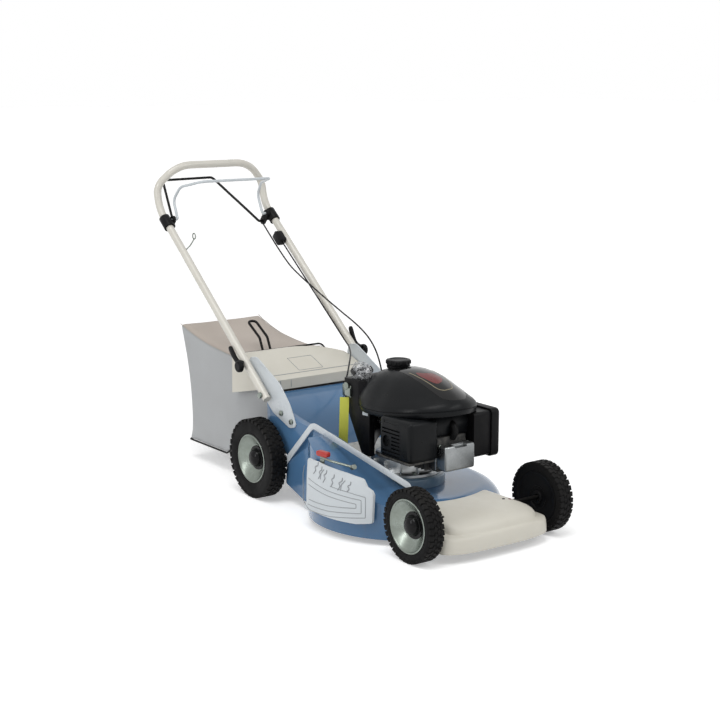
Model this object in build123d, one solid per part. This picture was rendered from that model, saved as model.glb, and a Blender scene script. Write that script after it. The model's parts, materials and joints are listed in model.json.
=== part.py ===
from build123d import *
import os
from math import atan2, cos, degrees, hypot, pi, radians, sin, tan

# A walk-behind rotary mower. Millimetres, +X forward, +Y to the operator's left, +Z up.
# Working origin while modelling: on the ground below the front axle. Everything is moved at the
# end so that the origin lies below the middle of the whole mower.

# ---------------------------------------------------------------- driving sizes
WHEELBASE = 770.0
FRONT_TYRE_R = 100.0
REAR_TYRE_R = 121.0
FRONT_TYRE_W = 49.0
REAR_TYRE_W = 53.0
TYRE_FACE_Y = 257.0  # outer face of every tyre from the centre plane
LUGS = 32
RIM_R = 75.0
RIM_WALL = 2.0
HUB_R = 14.0
CAP_R = 32.0
AXLE_R = 6.0

BLADE_X = -335.0  # engine and blade axis
DECK_R = 282.0
DECK_WALL = 2.5
SKIRT_Z = 15.0
DECK_TOP_Z = 112.0
DECK_REAR_X = -779.0
TUNNEL_HALF = 188.0
RIDGE_REAR_X = -522.0  # the deck steps in to the tunnel's width here, clear of the height link
CHUTE_TOP_Z = 312.0
CHUTE_FLOOR_Z = 167.0
CHUTE_LEFT_Y = 16.0  # left wall of the grass chute; belt and gearbox lie left of it

RING_R = 118.0
RING_H = 31.0
COWL_HALF = 189.0
COWL_BODY_HALF = 156.0
COWL_WALL = 3.0

FRONT_PIVOT = (-42.0, 80.0)  # cross shaft of the front axle crank, x and z
FRONT_ARM = (42.0, 20.0)  # from that shaft to the wheel axle
FRONT_LINK_ARM = (-9.0, 50.0)  # from that shaft to the link pin
REAR_PIVOT = (-712.0, 117.0)
REAR_ARM = (-58.0, 4.0)
REAR_LINK_ARM = (-13.0, -53.0)
FRONT_ARM_Y = 130.0
REAR_ARM_Y = 190.0
ARM_T = 5.0
ARM_W = 15.0
LINK_Y = 198.0
LINK_T = 3.5
LINK_W = 14.0
LINK_BEND = (-516.0, 268.0)
LINK_DROP = (-96.0, 194.0)
LEVER_PIVOT = (-362.0, 62.0)
LEVER_TIP = (-341.0, 226.0)

PANEL_IN_R = 296.0
PANEL_T = 3.0

HANDLE_Y = 206.0
HANDLE_R = 12.5
HANDLE_WALL = 1.8
HANDLE_PIVOT = (-766.0, 315.0)
HANDLE_SLOPE = 39.4  # degrees above level, rearward
GRIP_TOP_Z = 973.0
GRIP_HALF = 118.0
CLAMP_REACH = 120.0  # pivot bolt to clamp bolt, along the tube
BRACKET_T = 3.0

BAIL_LEG_Y = 166.0
DRIVE_BAIL_PIVOT = (-1345.0, 800.0)
BRAKE_BAIL_PIVOT = (-1368.0, 772.0)
DRIVE_BAIL_R = 4.5
BRAKE_BAIL_R = 4.0

CABLE_R = 2.5
FLAP_HALF = 185.0
FLAP_T = 3.0
BAG_HALF = 160.0
BAG_WALL = 3.0
WIRE_R = 3.0

CRANK_R = 12.5
MOUNT_Z = DECK_TOP_Z + RING_H  # engine sits here
BLADE_SPAN = 530.0
BLADE_W = 56.0
BLADE_T = 5.0
BLADE_Z = 38.0
ENGINE_PULLEY_R = 28.0
GEARBOX_PULLEY_R = 42.0
GEARBOX_Y = 112.0
CYLINDER_HALF = 45.0
DOME_TILT = 6.5  # the fan cover's rim rises towards the nose

SEAT = 0.3  # gap where one body's piece rests beside another's
RUN = 0.05  # radial clearance of a shaft in its bore
SNUG = 0.1  # gap between pieces of one body that are pressed or bolted together


# ---------------------------------------------------------------- helpers
def block(x0, x1, y0, y1, z0, z1):
    return Pos((x0 + x1) / 2, (y0 + y1) / 2, (z0 + z1) / 2) * Box(x1 - x0, y1 - y0, z1 - z0)


def rounded_block(x0, x1, y0, y1, z0, z1, r, axis=Axis.Z):
    body = block(x0, x1, y0, y1, z0, z1)
    return fillet(body.edges().filter_by(axis), r)


def post(r, z0, z1, x=0.0, y=0.0):
    return Pos(x, y, (z0 + z1) / 2) * Cylinder(r, z1 - z0)


def rod_y(r, y0, y1, x, z):
    return Pos(x, (y0 + y1) / 2, z) * Rot(90, 0, 0) * Cylinder(r, abs(y1 - y0))


def rod_x(r, x0, x1, y, z):
    return Pos((x0 + x1) / 2, y, z) * Rot(0, 90, 0) * Cylinder(r, abs(x1 - x0))


def side_shape(points, y0, y1):
    """A closed outline of (x, z) points, drawn from the side and run from y0 to y1."""
    plane = Plane((0, y1, 0), x_dir=(1, 0, 0), z_dir=(0, -1, 0))
    return extrude(plane * make_face(Polyline(*points, close=True)), y1 - y0)


def side_curve(top, low, y0, y1):
    """As side_shape, with the first list joined by a smooth curve and the second by straights."""
    plane = Plane((0, y1, 0), x_dir=(1, 0, 0), z_dir=(0, -1, 0))
    outline = [Spline(*top), Polyline(top[-1], *low, top[0])]
    return extrude(plane * make_face(outline), y1 - y0)


def cross_shape(points, x0, x1):
    """A closed outline of (y, z) points, drawn from the front and run from x0 to x1."""
    plane = Plane((x0, 0, 0), x_dir=(0, 1, 0), z_dir=(1, 0, 0))
    return extrude(plane * make_face(Polyline(*points, close=True)), x1 - x0)


def plan_shape(points, z0, z1):
    return Pos(0, 0, z0) * extrude(make_face(Polyline(*points, close=True)), z1 - z0)


def arm(pivot, end, width, y0, y1):
    """A flat bar with round ends between two (x, z) points."""
    length = hypot(end[0] - pivot[0], end[1] - pivot[1])
    tilt = degrees(atan2(end[1] - pivot[1], end[0] - pivot[0]))
    plane = Plane((0, y1, 0), x_dir=(1, 0, 0), z_dir=(0, -1, 0))
    mid = ((pivot[0] + end[0]) / 2, (pivot[1] + end[1]) / 2)
    bar = Pos(*mid) * Rot(0, 0, tilt) * SlotCenterToCenter(length, width)
    return extrude(plane * bar, y1 - y0)


def tube(points, radii, r, bore=0.0):
    """A round bar or tube along straight runs joined by tangent arcs."""
    path = FilletPolyline(*points, radius=radii)
    start = Plane(path @ 0, z_dir=path % 0)
    section = Circle(r) - Circle(bore) if bore else Circle(r)
    return sweep(start * section, path)


def cord(name, points, r):
    """A cord: every arc is as large as its two runs allow."""
    runs = [Vector(*b) - Vector(*a) for a, b in zip(points, points[1:])]
    radii = []
    for one, two in zip(runs, runs[1:]):
        half_turn = radians(one.get_angle(two)) / 2
        radii.append(0.45 * min(one.length, two.length) / tan(half_turn))
    path = FilletPolyline(*points, radius=radii)
    solid = sweep(Plane(path @ 0, z_dir=path % 0) * Circle(r), path)
    share = solid.volume / (pi * r * r * path.length)
    print(name, "length", round(path.length), "radii", [round(q) for q in radii], "volume", round(share, 3))
    return solid


def both_sides(solid):
    return [solid, mirror(solid, Plane.XZ)]


def turned_about_y(arm_xz, angle):
    """An (x, z) offset after a turn about +Y."""
    a = radians(angle)
    return (arm_xz[0] * cos(a) + arm_xz[1] * sin(a), -arm_xz[0] * sin(a) + arm_xz[1] * cos(a))


def plus(a, b):
    return (a[0] + b[0], a[1] + b[1])


parts = {}

# ---------------------------------------------------------------- deck
RAMP_TOP = [(DECK_REAR_X, CHUTE_TOP_Z), (-700, 284), (-640, 236), (-590, 172), (-545, 118), (-530, 90)]
RIDGE_TOP = [(DECK_REAR_X, CHUTE_TOP_Z), (-690, 284), (-600, 258), (-520, 250), (-440, 236), (-340, 194),
             (-240, 148), (-150, 114), (-70, 80)]
RIDGE_LOW = [(-70, SKIRT_Z), (-485, SKIRT_Z), (-562, 57), (-700, CHUTE_FLOOR_Z), (DECK_REAR_X, CHUTE_FLOOR_Z)]


def lowered(points, t):
    return [(x, z - t) for x, z in points]


def bowl(t, base):
    """The round blade housing, t inside its outer face."""
    r = DECK_R - t
    top = DECK_TOP_Z - t
    outline = [
        Polyline((0, base), (r, base), (r, 56)),
        ThreePointArc((r, 56), (r - 19, 93 - t * 0.7), (r - 62, top)),
        Polyline((r - 62, top), (0, top), (0, base)),
    ]
    face = Plane.XZ * make_face(outline)
    return Pos(BLADE_X, 0, 0) * revolve(face, Axis.Z)


def ridge(t, base_drop):
    """The raised grass channel along the right side, rising rearward into the tunnel."""
    low = [(x, z - base_drop if z == SKIRT_Z else z + t) for x, z in RIDGE_LOW]
    over = t if t else 0
    rear = [(DECK_REAR_X - over, CHUTE_TOP_Z - t)] + lowered(RIDGE_TOP[1:], t)
    low[-1] = (DECK_REAR_X - over, CHUTE_FLOOR_Z + t)
    long_form = side_curve(rear, low[0:], -DECK_R - 1, -60)
    section = cross_shape(
        [(-DECK_R - 1 + t, 0), (-DECK_R - 1 + t, 216), (-262 + t, 262 - t), (-238, 330 - t),
         (-195, 330 - t), (-100 - t, DECK_TOP_Z - t), (-100 - t, 0)], DECK_REAR_X - 5, -50)
    round_part = post(DECK_R - t, 0, 340, BLADE_X)
    round_part &= block(RIDGE_REAR_X + t, 0, -300, 0, 0, 340)
    neck = plan_shape([(DECK_REAR_X - 5, -TUNNEL_HALF + t), (DECK_REAR_X - 5, 0), (-500, 0),
                       (-500, -TUNNEL_HALF + t)], 0, 340)
    ledge = block(RIDGE_REAR_X - 10, -476 + t, -300, -LINK_Y + 2 + t, 203 - t, 340)
    return (long_form & section & (round_part + neck)) - ledge


def ramp(t, y0, y1, low):
    over = t if t else 0
    top = [(DECK_REAR_X - over, CHUTE_TOP_Z - t)] + lowered(RAMP_TOP[1:], t)
    return side_curve(top, low, y0, y1)


def chute_floor(t):
    over = t if t else 0
    return [(-530, 60 + t), (-565, 60 + t), (-700, CHUTE_FLOOR_Z + t), (DECK_REAR_X - over, CHUTE_FLOOR_Z + t)]


cheek = side_shape([(-752, 172), (-690, 168), (-690, 104), (-704, 96), (-722, 96), (-752, 150)], TUNNEL_HALF - DECK_WALL,
                   TUNNEL_HALF)
cheek -= rod_y(AXLE_R + RUN, 0, 300, *REAR_PIVOT)
outer = bowl(0, SKIRT_Z) + ridge(0, 0) + ramp(0, -TUNNEL_HALF, TUNNEL_HALF, chute_floor(0))
chamber = bowl(DECK_WALL, 0) + ridge(DECK_WALL, 10)
chamber += ramp(DECK_WALL, -TUNNEL_HALF + DECK_WALL, CHUTE_LEFT_Y, chute_floor(DECK_WALL))
gear_bay = ramp(DECK_WALL, CHUTE_LEFT_Y + DECK_WALL, TUNNEL_HALF - DECK_WALL,
                [(-530, 0), (DECK_REAR_X - 5, 0), (DECK_REAR_X - 5, CHUTE_TOP_Z - DECK_WALL)])
gear_bay -= bowl(0, 0)
belt_window = block(-660, -530, CHUTE_LEFT_Y + DECK_WALL, 150, DECK_TOP_Z + 1, 168)
deck = outer - chamber - gear_bay - belt_window
for side_cheek in both_sides(cheek):
    deck += side_cheek
deck -= post(42, 90, 130, BLADE_X)
deck -= post(RING_R + SNUG, DECK_TOP_Z, 400, BLADE_X)
lever_boss = rod_y(9, -DECK_R + 1, -DECK_R - 2, *LEVER_PIVOT)
parts["deck_shell"] = deck

ring = post(RING_R, DECK_TOP_Z, MOUNT_Z, BLADE_X) - post(RING_R - 14, DECK_TOP_Z, MOUNT_Z, BLADE_X)
ring = chamfer(ring.edges().filter_by(GeomType.CIRCLE).group_by(Axis.Z)[-1].sort_by(SortBy.RADIUS)[-1], 4)
ring += post(RING_R - 10, MOUNT_Z - 4, MOUNT_Z, BLADE_X) - post(62, 100, 200, BLADE_X)
ring -= block(BLADE_X - RING_R - 5, BLADE_X - 60, -48, 70, DECK_TOP_Z, MOUNT_Z - 4)
parts["engine_ring"] = ring

# ---------------------------------------------------------------- front cowl
COWL_TOP = [(-112, 101), (-40, 112), (14, 114), (54, 106), (84, 80), (98, 52)]
COWL_LIP_Z = 26.0
EAR_TOP_Z = 70.0


def cowl_nose(half, front, t):
    """The cowl seen from above: straight sides and a bowed front."""
    side_x = front - 52
    return extrude(make_face([
        Polyline((side_x - t, half - t), (-160, half - t), (-160, -half + t), (side_x - t, -half + t)),
        ThreePointArc((side_x - t, -half + t), (front - t, 0), (side_x - t, half - t))]), 200)


def cowl_form(t):
    top = [(x - (t if x > 20 else 0), z - t) for x, z in COWL_TOP]
    low = [(104 - t, COWL_LIP_Z - 2 * t), (-140, COWL_LIP_Z - 2 * t), (-140, 101 - t)]
    body = side_curve(top, low, -COWL_BODY_HALF + t, COWL_BODY_HALF - t)
    flare = cross_shape([(-COWL_BODY_HALF + t, 0), (-COWL_BODY_HALF + t, 94), (-130, 134 - t), (130, 134 - t),
                         (COWL_BODY_HALF - t, 94), (COWL_BODY_HALF - t, 0)], -150, 110)
    band = block(13 + t, 104, -COWL_HALF + t, COWL_HALF - t, COWL_LIP_Z - 2 * t, EAR_TOP_Z - t)
    return (body & flare & cowl_nose(COWL_BODY_HALF, 96, t)) + (band & cowl_nose(COWL_HALF, 104, t))


cowl = cowl_form(0) - cowl_form(COWL_WALL)
cowl -= post(DECK_R - 36, 0, 200, BLADE_X)
cowl -= post(DECK_R + 2, 0, 60, BLADE_X) + Pos(0, 0, SEAT) * bowl(-0.3, 20) + ridge(0, 0)
cowl -= rod_y(AXLE_R + RUN, -COWL_HALF - 1, COWL_HALF + 1, *FRONT_PIVOT)
cowl -= block(-12, 12, -COWL_HALF - 1, COWL_HALF + 1, 0, 108)
parts["front_cowl"] = cowl

# ---------------------------------------------------------------- belt cover
cover_out = side_shape([(-450, DECK_TOP_Z), (-452, 150), (-475, 158), (-596, 172), (-600, DECK_TOP_Z)], -44, 132)
cover_in = side_shape([(-440, DECK_TOP_Z), (-440, 147), (-475, 155), (-610, 169), (-610, DECK_TOP_Z)], -41, 129)
cover = cover_out - cover_in - ramp(-0.5, -TUNNEL_HALF, TUNNEL_HALF, chute_floor(0))
cover -= post(RING_R + 1, 100, 180, BLADE_X)
parts["belt_cover"] = cover & plan_shape([(-440, -44), (-440, 66), (-600, 132), (-620, 132), (-620, -44)], 0, 200)

# ---------------------------------------------------------------- height panel
PANEL_OUTLINE = [(-462, 44), (-474, 92), (-462, 186), (-440, 198), (-345, 211), (-240, 200), (-176, 190),
                 (-166, 166), (-150, 160), (-146, 82), (-240, 52), (-350, 42)]
PANEL_INNER = [(-459, 48), (-470, 92), (-459, 250), (-160, 250), (-160, 90), (-240, 56), (-350, 46)]


def ring_sector(r_in, r_out, outline):
    band = post(r_out, 0, 300, BLADE_X) - post(r_in, 0, 300, BLADE_X)
    return band & side_shape(outline, -PANEL_IN_R - 20, -150)


panel = ring_sector(DECK_R + 0.8, PANEL_IN_R + PANEL_T, PANEL_OUTLINE)
panel -= ring_sector(DECK_R, PANEL_IN_R, PANEL_INNER)
panel -= outer
parts["height_panel"] = panel

# ---------------------------------------------------------------- handle brackets
CLAMP = (HANDLE_PIVOT[0] - CLAMP_REACH * cos(radians(HANDLE_SLOPE)),
         HANDLE_PIVOT[1] + CLAMP_REACH * sin(radians(HANDLE_SLOPE)))
BRACKET_OUTLINE = [(-884, 384), (-868, 414), (-832, 420), (-704, 356), (-652, 300), (-622, 246), (-628, 232),
                   (-652, 230), (-742, 262), (-784, 296)]
plate_y1 = -(TUNNEL_HALF + SNUG)
plate_y0 = plate_y1 - BRACKET_T
bracket = side_shape(BRACKET_OUTLINE, plate_y0, plate_y1)
lip = side_shape([(-832, 420), (-704, 356), (-652, 300), (-622, 246), (-625, 243), (-655, 296), (-706, 352),
                  (-834, 416)], plate_y1 - 0.5, plate_y1 + 12)
bracket += lip - block(-790, -600, -TUNNEL_HALF, -150, 0, 320) - block(-850, -745, -TUNNEL_HALF - 0.4, -150, 300, 430)
arc_slot = Pos(HANDLE_PIVOT[0], 0, HANDLE_PIVOT[1]) * Rot(90, 0, 0) * (
    Cylinder(CLAMP_REACH + 5.2, 600) - Cylinder(CLAMP_REACH - 5.2, 600))
slot_reach = side_shape([HANDLE_PIVOT, plus(CLAMP, (-8, -9)), plus(CLAMP, (-20, 120)), plus(HANDLE_PIVOT, (0, 200))],
                        -230, -170)
bracket -= arc_slot & slot_reach
bracket -= rod_y(4 + SNUG, -230, -150, *HANDLE_PIVOT)
parts["handle_brackets"] = Compound(both_sides(bracket))

bolt_spots = [(-694, 269), (-640, 252)]
bolts = []
for x, z in bolt_spots:
    head = rod_y(8, plate_y0 - SNUG, plate_y0 - 6, x, z)
    bolts += both_sides(head)
pivot_bolt = rod_y(4, -TUNNEL_HALF - SNUG - BRACKET_T - 1.0, -226, *HANDLE_PIVOT)
pivot_bolt += rod_y(4, -TUNNEL_HALF + 3 - SEAT, -TUNNEL_HALF - 6, *HANDLE_PIVOT)
pivot_bolt += rod_y(9, -HANDLE_Y - HANDLE_R - 1, -HANDLE_Y - HANDLE_R - 8, *HANDLE_PIVOT)
bolts += both_sides(pivot_bolt)
FLAP_HINGE = (DECK_REAR_X - 11, CHUTE_TOP_Z + 14)
hinge_rod = rod_y(3, -TUNNEL_HALF + 0.5, TUNNEL_HALF - 0.5, *FLAP_HINGE)
bolts.append(hinge_rod)

# ---------------------------------------------------------------- engine, fixed pieces
flange = post(80, MOUNT_Z, MOUNT_Z + 12, BLADE_X)
crankcase = flange + post(70, MOUNT_Z + 12, 262, BLADE_X)
crankcase += block(-300, -140, -CYLINDER_HALF, CYLINDER_HALF, 192, 280)
for step in range(6):
    fin_x = -246 + 15 * step
    crankcase += block(fin_x, fin_x + 3, -60, 60, 184, 288)
crankcase += block(-150, -126, -50, 52, 188, 284)
for turn in (45, 135, 225, 315):
    ear = Pos(BLADE_X, 0, 0) * Rot(0, 0, turn) * Pos(84, 0, MOUNT_Z + 6) * Cylinder(11, 12)
    crankcase += ear
crankcase -= post(CRANK_R + RUN, 100, 300, BLADE_X)
parts["crankcase"] = crankcase

for turn in (45, 135, 225, 315):
    a = radians(turn)
    bolt = post(7, MOUNT_Z + 12 + SNUG, MOUNT_Z + 20, BLADE_X + 84 * cos(a), 84 * sin(a))
    bolts.append(bolt)
parts["deck_fasteners"] = Compound(bolts)

HEAD_X = -126 + SNUG
valve = block(HEAD_X, -90, -44, 50, 197, 268)
valve = chamfer(valve.faces().sort_by(Axis.X)[-1].edges(), 5)
parts["valve_cover"] = valve

MUFFLER = (-254, -132, -146, -72, 226, 330)
x0, x1, y0, y1, z0, z1 = MUFFLER
muffler = rounded_block(x0 + 8, x1 - 10, y0 + 9, y1, z0 + 10, z1 - 12, 12)
muffler -= rounded_block(x0 + 10, x1 - 12, y0 + 11, y1 - 2, z0 + 12, z1 - 14, 10)
parts["muffler"] = muffler + (rod_y(12, y1 - 5, -CYLINDER_HALF + 5, -188, 246) - crankcase)
guard = rounded_block(x0 - 6, x1 + 6, y0 - 2, y1 + 2, z0 - 2, z1 + 8, 10)
guard -= rounded_block(x0 - 3.5, x1 + 3.5, y0 + 0.5, y1 + 12, z0 + 0.5, z1 + 5.5, 8)
guard -= rod_y(15, y0 - 5, y0 + 3, -222, 266)
for row in range(6):
    for x_a, x_b in ((-200, -168), (-162, -140)):
        z_slot = 244 + row * 12
        guard -= block(x_a, x_b, y0 - 5, y0 + 3, z_slot, z_slot + 4)
for x in (x0 + 14, x1 - 8):
    guard += rod_y(4, y0 - 1, y0 + 9 - SNUG, x, z0 + 10)
parts["muffler_guard"] = guard

AIR_X = (-204, -106)
AIR_Z = (214, 343)
AIR_SPLIT_Y = 128
case = rounded_block(*AIR_X, 66, AIR_SPLIT_Y, *AIR_Z, 10, Axis.Y)
case -= rounded_block(AIR_X[0] + 3, AIR_X[1] - 3, 72, AIR_SPLIT_Y + 5, AIR_Z[0] + 3, AIR_Z[1] - 3, 8, Axis.Y)
intake = rod_y(14, 56, 66 - SNUG, -180, 262)
intake += block(-200, -160, 60.5, 66 - SNUG, 240, 284)
parts["air_cleaner_case"] = Compound([case, intake - crankcase])
lid = rounded_block(AIR_X[0] - 5, AIR_X[1] + 5, AIR_SPLIT_Y + SNUG, 160, AIR_Z[0] - 5, AIR_Z[1] + 5, 14, Axis.Y)
lid = chamfer(lid.faces().sort_by(Axis.Y)[-1].edges(), 6)
lid -= rounded_block(AIR_X[0], AIR_X[1], AIR_SPLIT_Y - 5, 154, AIR_Z[0], AIR_Z[1], 10, Axis.Y)
parts["air_cleaner_cover"] = lid

plug_line = [(-112, 0, 269), (-106, 0, 296), (-128, 0, 322)]
boot = tube([(-138, 4, 284.5), (-128, 4, 300), (-142, 4, 326)], 12, 11)
parts["spark_plug_cap"] = boot - crankcase

RIM_MID_X = -263.0


def dome(t):
    """The fan cover: ovals stacked along a slightly tilted axis, t inside the outer face."""
    rows = [(0, 186, 140, -3), (16, 187, 141, -4), (50, 168, 126, -16), (80, 134, 102, -36), (102, 92, 72, -54),
            (112, 56, 46, -62)]
    faces = []
    for z, rx, ry, shift in rows:
        faces.append(Pos(shift, 0, z - (t if z > 100 else 0)) * Ellipse(rx - t, ry - t))
    return loft(faces)


to_dome = Pos(RIM_MID_X, 0, 339) * Rot(0, -DOME_TILT, 0)
cap_spot = (-368.0, 0.0)
NECK_R = 19.0
shell = to_dome * (dome(0) - dome(3) - Pos(0, 0, -1) * Box(500, 400, 2))
neck = post(NECK_R, 400, 461.5, *cap_spot) - post(NECK_R - 3, 380, 480, *cap_spot)
shell += neck - to_dome * dome(3)
shell -= post(NECK_R - 3, 380, 480, *cap_spot)
parts["fan_cover"] = shell - lid

tank = side_shape([(-488, 404), (-490, 350), (-462, 292), (-402, 190), (-366, 190), (-366, 318), (-400, 326),
                   (-400, 404)], -106, 106)
tank = chamfer(tank.edges().filter_by(Axis.Z).sort_by(Axis.X)[:2], 20)
tank -= to_dome * dome(-1)
tank -= post(92, 100, 340, BLADE_X)
tank = tank.solids().sort_by(SortBy.VOLUME)[-1]
parts["fuel_tank"] = tank

cap = post(26, 450, 468, *cap_spot) - post(NECK_R + 0.5, 440, 462, *cap_spot)
grips = [Pos(*cap_spot) * Rot(0, 0, 30 * k) * Pos(26, 0, 458) * Cylinder(3.5, 16) for k in range(12)]
for grip in grips:
    cap += grip
cap -= post(NECK_R + 0.5, 440, 462, *cap_spot)
parts["fuel_cap"] = cap
oil_spot = (-318.0, 86.0)
filler = post(10, MOUNT_Z + 12, 196, *oil_spot) - post(CRANK_R + RUN, 100, 300, BLADE_X)
parts["crankcase"] = parts["crankcase"] + post(15, MOUNT_Z, MOUNT_Z + 12, *oil_spot) + filler
oil_cap = post(15, 196 + SEAT, 208, *oil_spot) + block(oil_spot[0] - 15, oil_spot[0] + 15, 83, 89, 207, 219)
parts["oil_cap"] = oil_cap

PULL = (-cos(radians(HANDLE_SLOPE)), 0.0, sin(radians(HANDLE_SLOPE)))
GRIP_AT = (-456.0, -66.0, 424.0)
grip = rounded_block(-11, 11, -34, 34, -8, 8, 6, Axis.Y)
grip = Pos(*GRIP_AT) * Rot(0, HANDLE_SLOPE, 0) * grip
parts["starter_grip"] = grip
rope_end = (GRIP_AT[0] - PULL[0] * 44, GRIP_AT[1], GRIP_AT[2] - PULL[2] * 44)
rope_start = (GRIP_AT[0] - PULL[0] * 11.2, GRIP_AT[1], GRIP_AT[2] - PULL[2] * 11.2)
rope_plane = Plane(rope_start, z_dir=tuple(-q for q in PULL))
rope = extrude(rope_plane * Circle(1.8), 30)
rope -= parts["fan_cover"] + parts["fuel_tank"]
parts["starter_rope"] = rope.solids().sort_by(SortBy.VOLUME)[-1]

plate = block(-494, -452, -106 - SNUG - 3, -106 - SNUG, 350, 384)
rod = rod_y(2.2, -124, -112, -263, 322) + post(2.2, 228, 322, -263, -124)
rod += rod_y(2.2, -124, -112, -263, 228)
parts["control_bracket"] = Compound([plate, rod])

# ---------------------------------------------------------------- crankshaft, blade and drive
shaft = post(CRANK_R, 47, 340, BLADE_X)
parts["crankshaft"] = shaft
fan = post(84, 290, 298, BLADE_X)
for k in range(16):
    fan += Pos(BLADE_X, 0, 0) * Rot(0, 0, 22.5 * k) * Pos(66, 0, 306) * Rot(0, 0, 20) * Box(30, 2.5, 20)
fan -= post(CRANK_R + SNUG, 280, 330, BLADE_X)
parts["flywheel_fan"] = fan


def pulley(r, z0, z1, bore, x, y):
    half = (z1 - z0) / 2
    face = Plane.XZ * make_face(Polyline((bore, z0), (r, z0), (r, z0 + 1.5), (r - 6, z0 + half - 1),
                                         (r - 6, z0 + half + 1), (r, z1 - 1.5), (r, z1), (bore, z1), close=True))
    return Pos(x, y, 0) * revolve(face, Axis.Z)


parts["engine_pulley"] = pulley(ENGINE_PULLEY_R, 115, 133, CRANK_R + SNUG, BLADE_X, 0)
holder = post(24, 50, 84, BLADE_X) - post(CRANK_R + SNUG, 40, 90, BLADE_X)
holder += block(BLADE_X - 40, BLADE_X + 40, -24, 24, BLADE_Z + BLADE_T + SNUG, 50)
holder = holder - post(CRANK_R + SNUG, 47 - SNUG, 90, BLADE_X) - post(6 + SNUG, 30, 60, BLADE_X)
blade_bolt = post(6, 30, 46.8, BLADE_X) + post(11, 29, BLADE_Z - SNUG, BLADE_X)
parts["blade_holder"] = Compound([holder, blade_bolt])
blade = block(BLADE_X - BLADE_W / 2, BLADE_X + BLADE_W / 2, -BLADE_SPAN / 2, BLADE_SPAN / 2, BLADE_Z, BLADE_Z + BLADE_T)
for s in (-1, 1):
    wing = cross_shape([(s * 150, 38), (s * 262, 38), (s * 262, 60), (s * 190, 60)], -400, 400)
    lift = side_shape([(BLADE_X - s * 2, 43), (BLADE_X - s * 14, 43), (BLADE_X - s * 30, 60), (BLADE_X - s * 27, 62),
                       (BLADE_X - s * 11, 45)], -300, 300)
    blade += wing & lift
blade -= post(6 + SNUG, 30, 60, BLADE_X)
parts["blade"] = blade

GEARBOX_PULLEY_Z = (150, 163)
gear_x, gear_z = plus(REAR_PIVOT, REAR_ARM)
worm_x = gear_x + 34
case_low = rounded_block(gear_x - 26, worm_x + 18, GEARBOX_Y - 20, GEARBOX_Y + 20, gear_z - 27, gear_z + 24, 8)
case_low += post(12, gear_z + 20, GEARBOX_PULLEY_Z[0] - SEAT, worm_x, GEARBOX_Y)
case_low += rod_y(17, GEARBOX_Y - 34, GEARBOX_Y + 34, gear_x, gear_z)
case_low -= rod_y(AXLE_R + RUN, GEARBOX_Y - 60, GEARBOX_Y + 60, gear_x, gear_z)
case_low -= post(5 + RUN, gear_z + 14, 200, worm_x, GEARBOX_Y)
parts["gearbox_housing"] = case_low
gear_pulley = pulley(GEARBOX_PULLEY_R, *GEARBOX_PULLEY_Z, 4.0, worm_x, GEARBOX_Y)
gear_pulley += post(5, gear_z + 14 + SEAT, GEARBOX_PULLEY_Z[1] + 2, worm_x, GEARBOX_Y)
parts["gearbox_pulley"] = gear_pulley

belt_a = Vector(BLADE_X, 0, 124)
belt_b = Vector(worm_x, GEARBOX_Y, sum(GEARBOX_PULLEY_Z) / 2)
belt_run = (belt_b - belt_a).length
swing = degrees(atan2(belt_b.Y - belt_a.Y, belt_b.X - belt_a.X))


def belt_loop(grow, height):
    ends = [Pos(0, 0) * Circle(ENGINE_PULLEY_R + grow), Pos(belt_run, 0) * Circle(GEARBOX_PULLEY_R + grow)]
    hull = make_hull([edge for end in ends for edge in end.edges()])
    return extrude(hull, height)


belt = Pos(0, 0, -3.5) * (belt_loop(5.5, 7) - belt_loop(0.4, 7))
rise = degrees(atan2(belt_b.Z - belt_a.Z, hypot(belt_b.X - belt_a.X, belt_b.Y - belt_a.Y)))
parts["drive_belt"] = Pos(*belt_a.to_tuple()) * Rot(0, 0, swing) * Rot(0, -rise, 0) * belt

# ---------------------------------------------------------------- wheels
def wheel(tyre_r, width, bore):
    """One wheel about its own axis; +Z is its outer face, z = 0 its middle."""
    h = width / 2
    tread = Polyline((RIM_R + SNUG, -h + 5), (RIM_R + 6, -h), (tyre_r - 10, -h), (tyre_r, -h + 10), (tyre_r, h - 10),
                     (tyre_r - 10, h), (RIM_R + 6, h), (RIM_R + SNUG, h - 5), close=True)
    tyre = revolve(Plane.XZ * make_face(tread), Axis.Z)
    lug = Pos(tyre_r - 1, 0, 0) * Box(6, 11, width - 26)
    for k in range(LUGS):
        tyre += Rot(0, 0, 360 / LUGS * k) * lug
    web = [(bore, h - 34), (HUB_R, h - 34), (RIM_R - 22, h - 20), (RIM_R - RIM_WALL, h - 6), (RIM_R - RIM_WALL, -h + 4),
           (RIM_R, -h + 4), (RIM_R, h - 3), (RIM_R - 4, h - 3), (RIM_R - 24, h - 17), (HUB_R, h - 31)]
    web += [(HUB_R, h - 22), (bore, h - 22)]
    rim = revolve(Plane.XZ * make_face(Polyline(*web, close=True)), Axis.Z)
    rim += post(HUB_R, -h + 2, h - 22) - post(bore, -h + 2, h - 22)
    rim -= post(bore, -h, h)
    edge, top = h - 23.9, h - 4
    dome_cap = revolve(Plane.XZ * make_face([
        Polyline((CAP_R - 3, edge + 3), (CAP_R - 3, edge), (CAP_R, edge), (CAP_R, edge + 4)),
        ThreePointArc((CAP_R, edge + 4), (CAP_R * 0.74, top - 5), (2, top)),
        Polyline((2, top), (0, top), (0, top - 3), (2, top - 3)),
        ThreePointArc((2, top - 3), (CAP_R * 0.66, top - 7), (CAP_R - 3, edge + 3))]), Axis.Z)
    return {"tyre": tyre, "rim": rim, "hub_cap": dome_cap}


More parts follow.
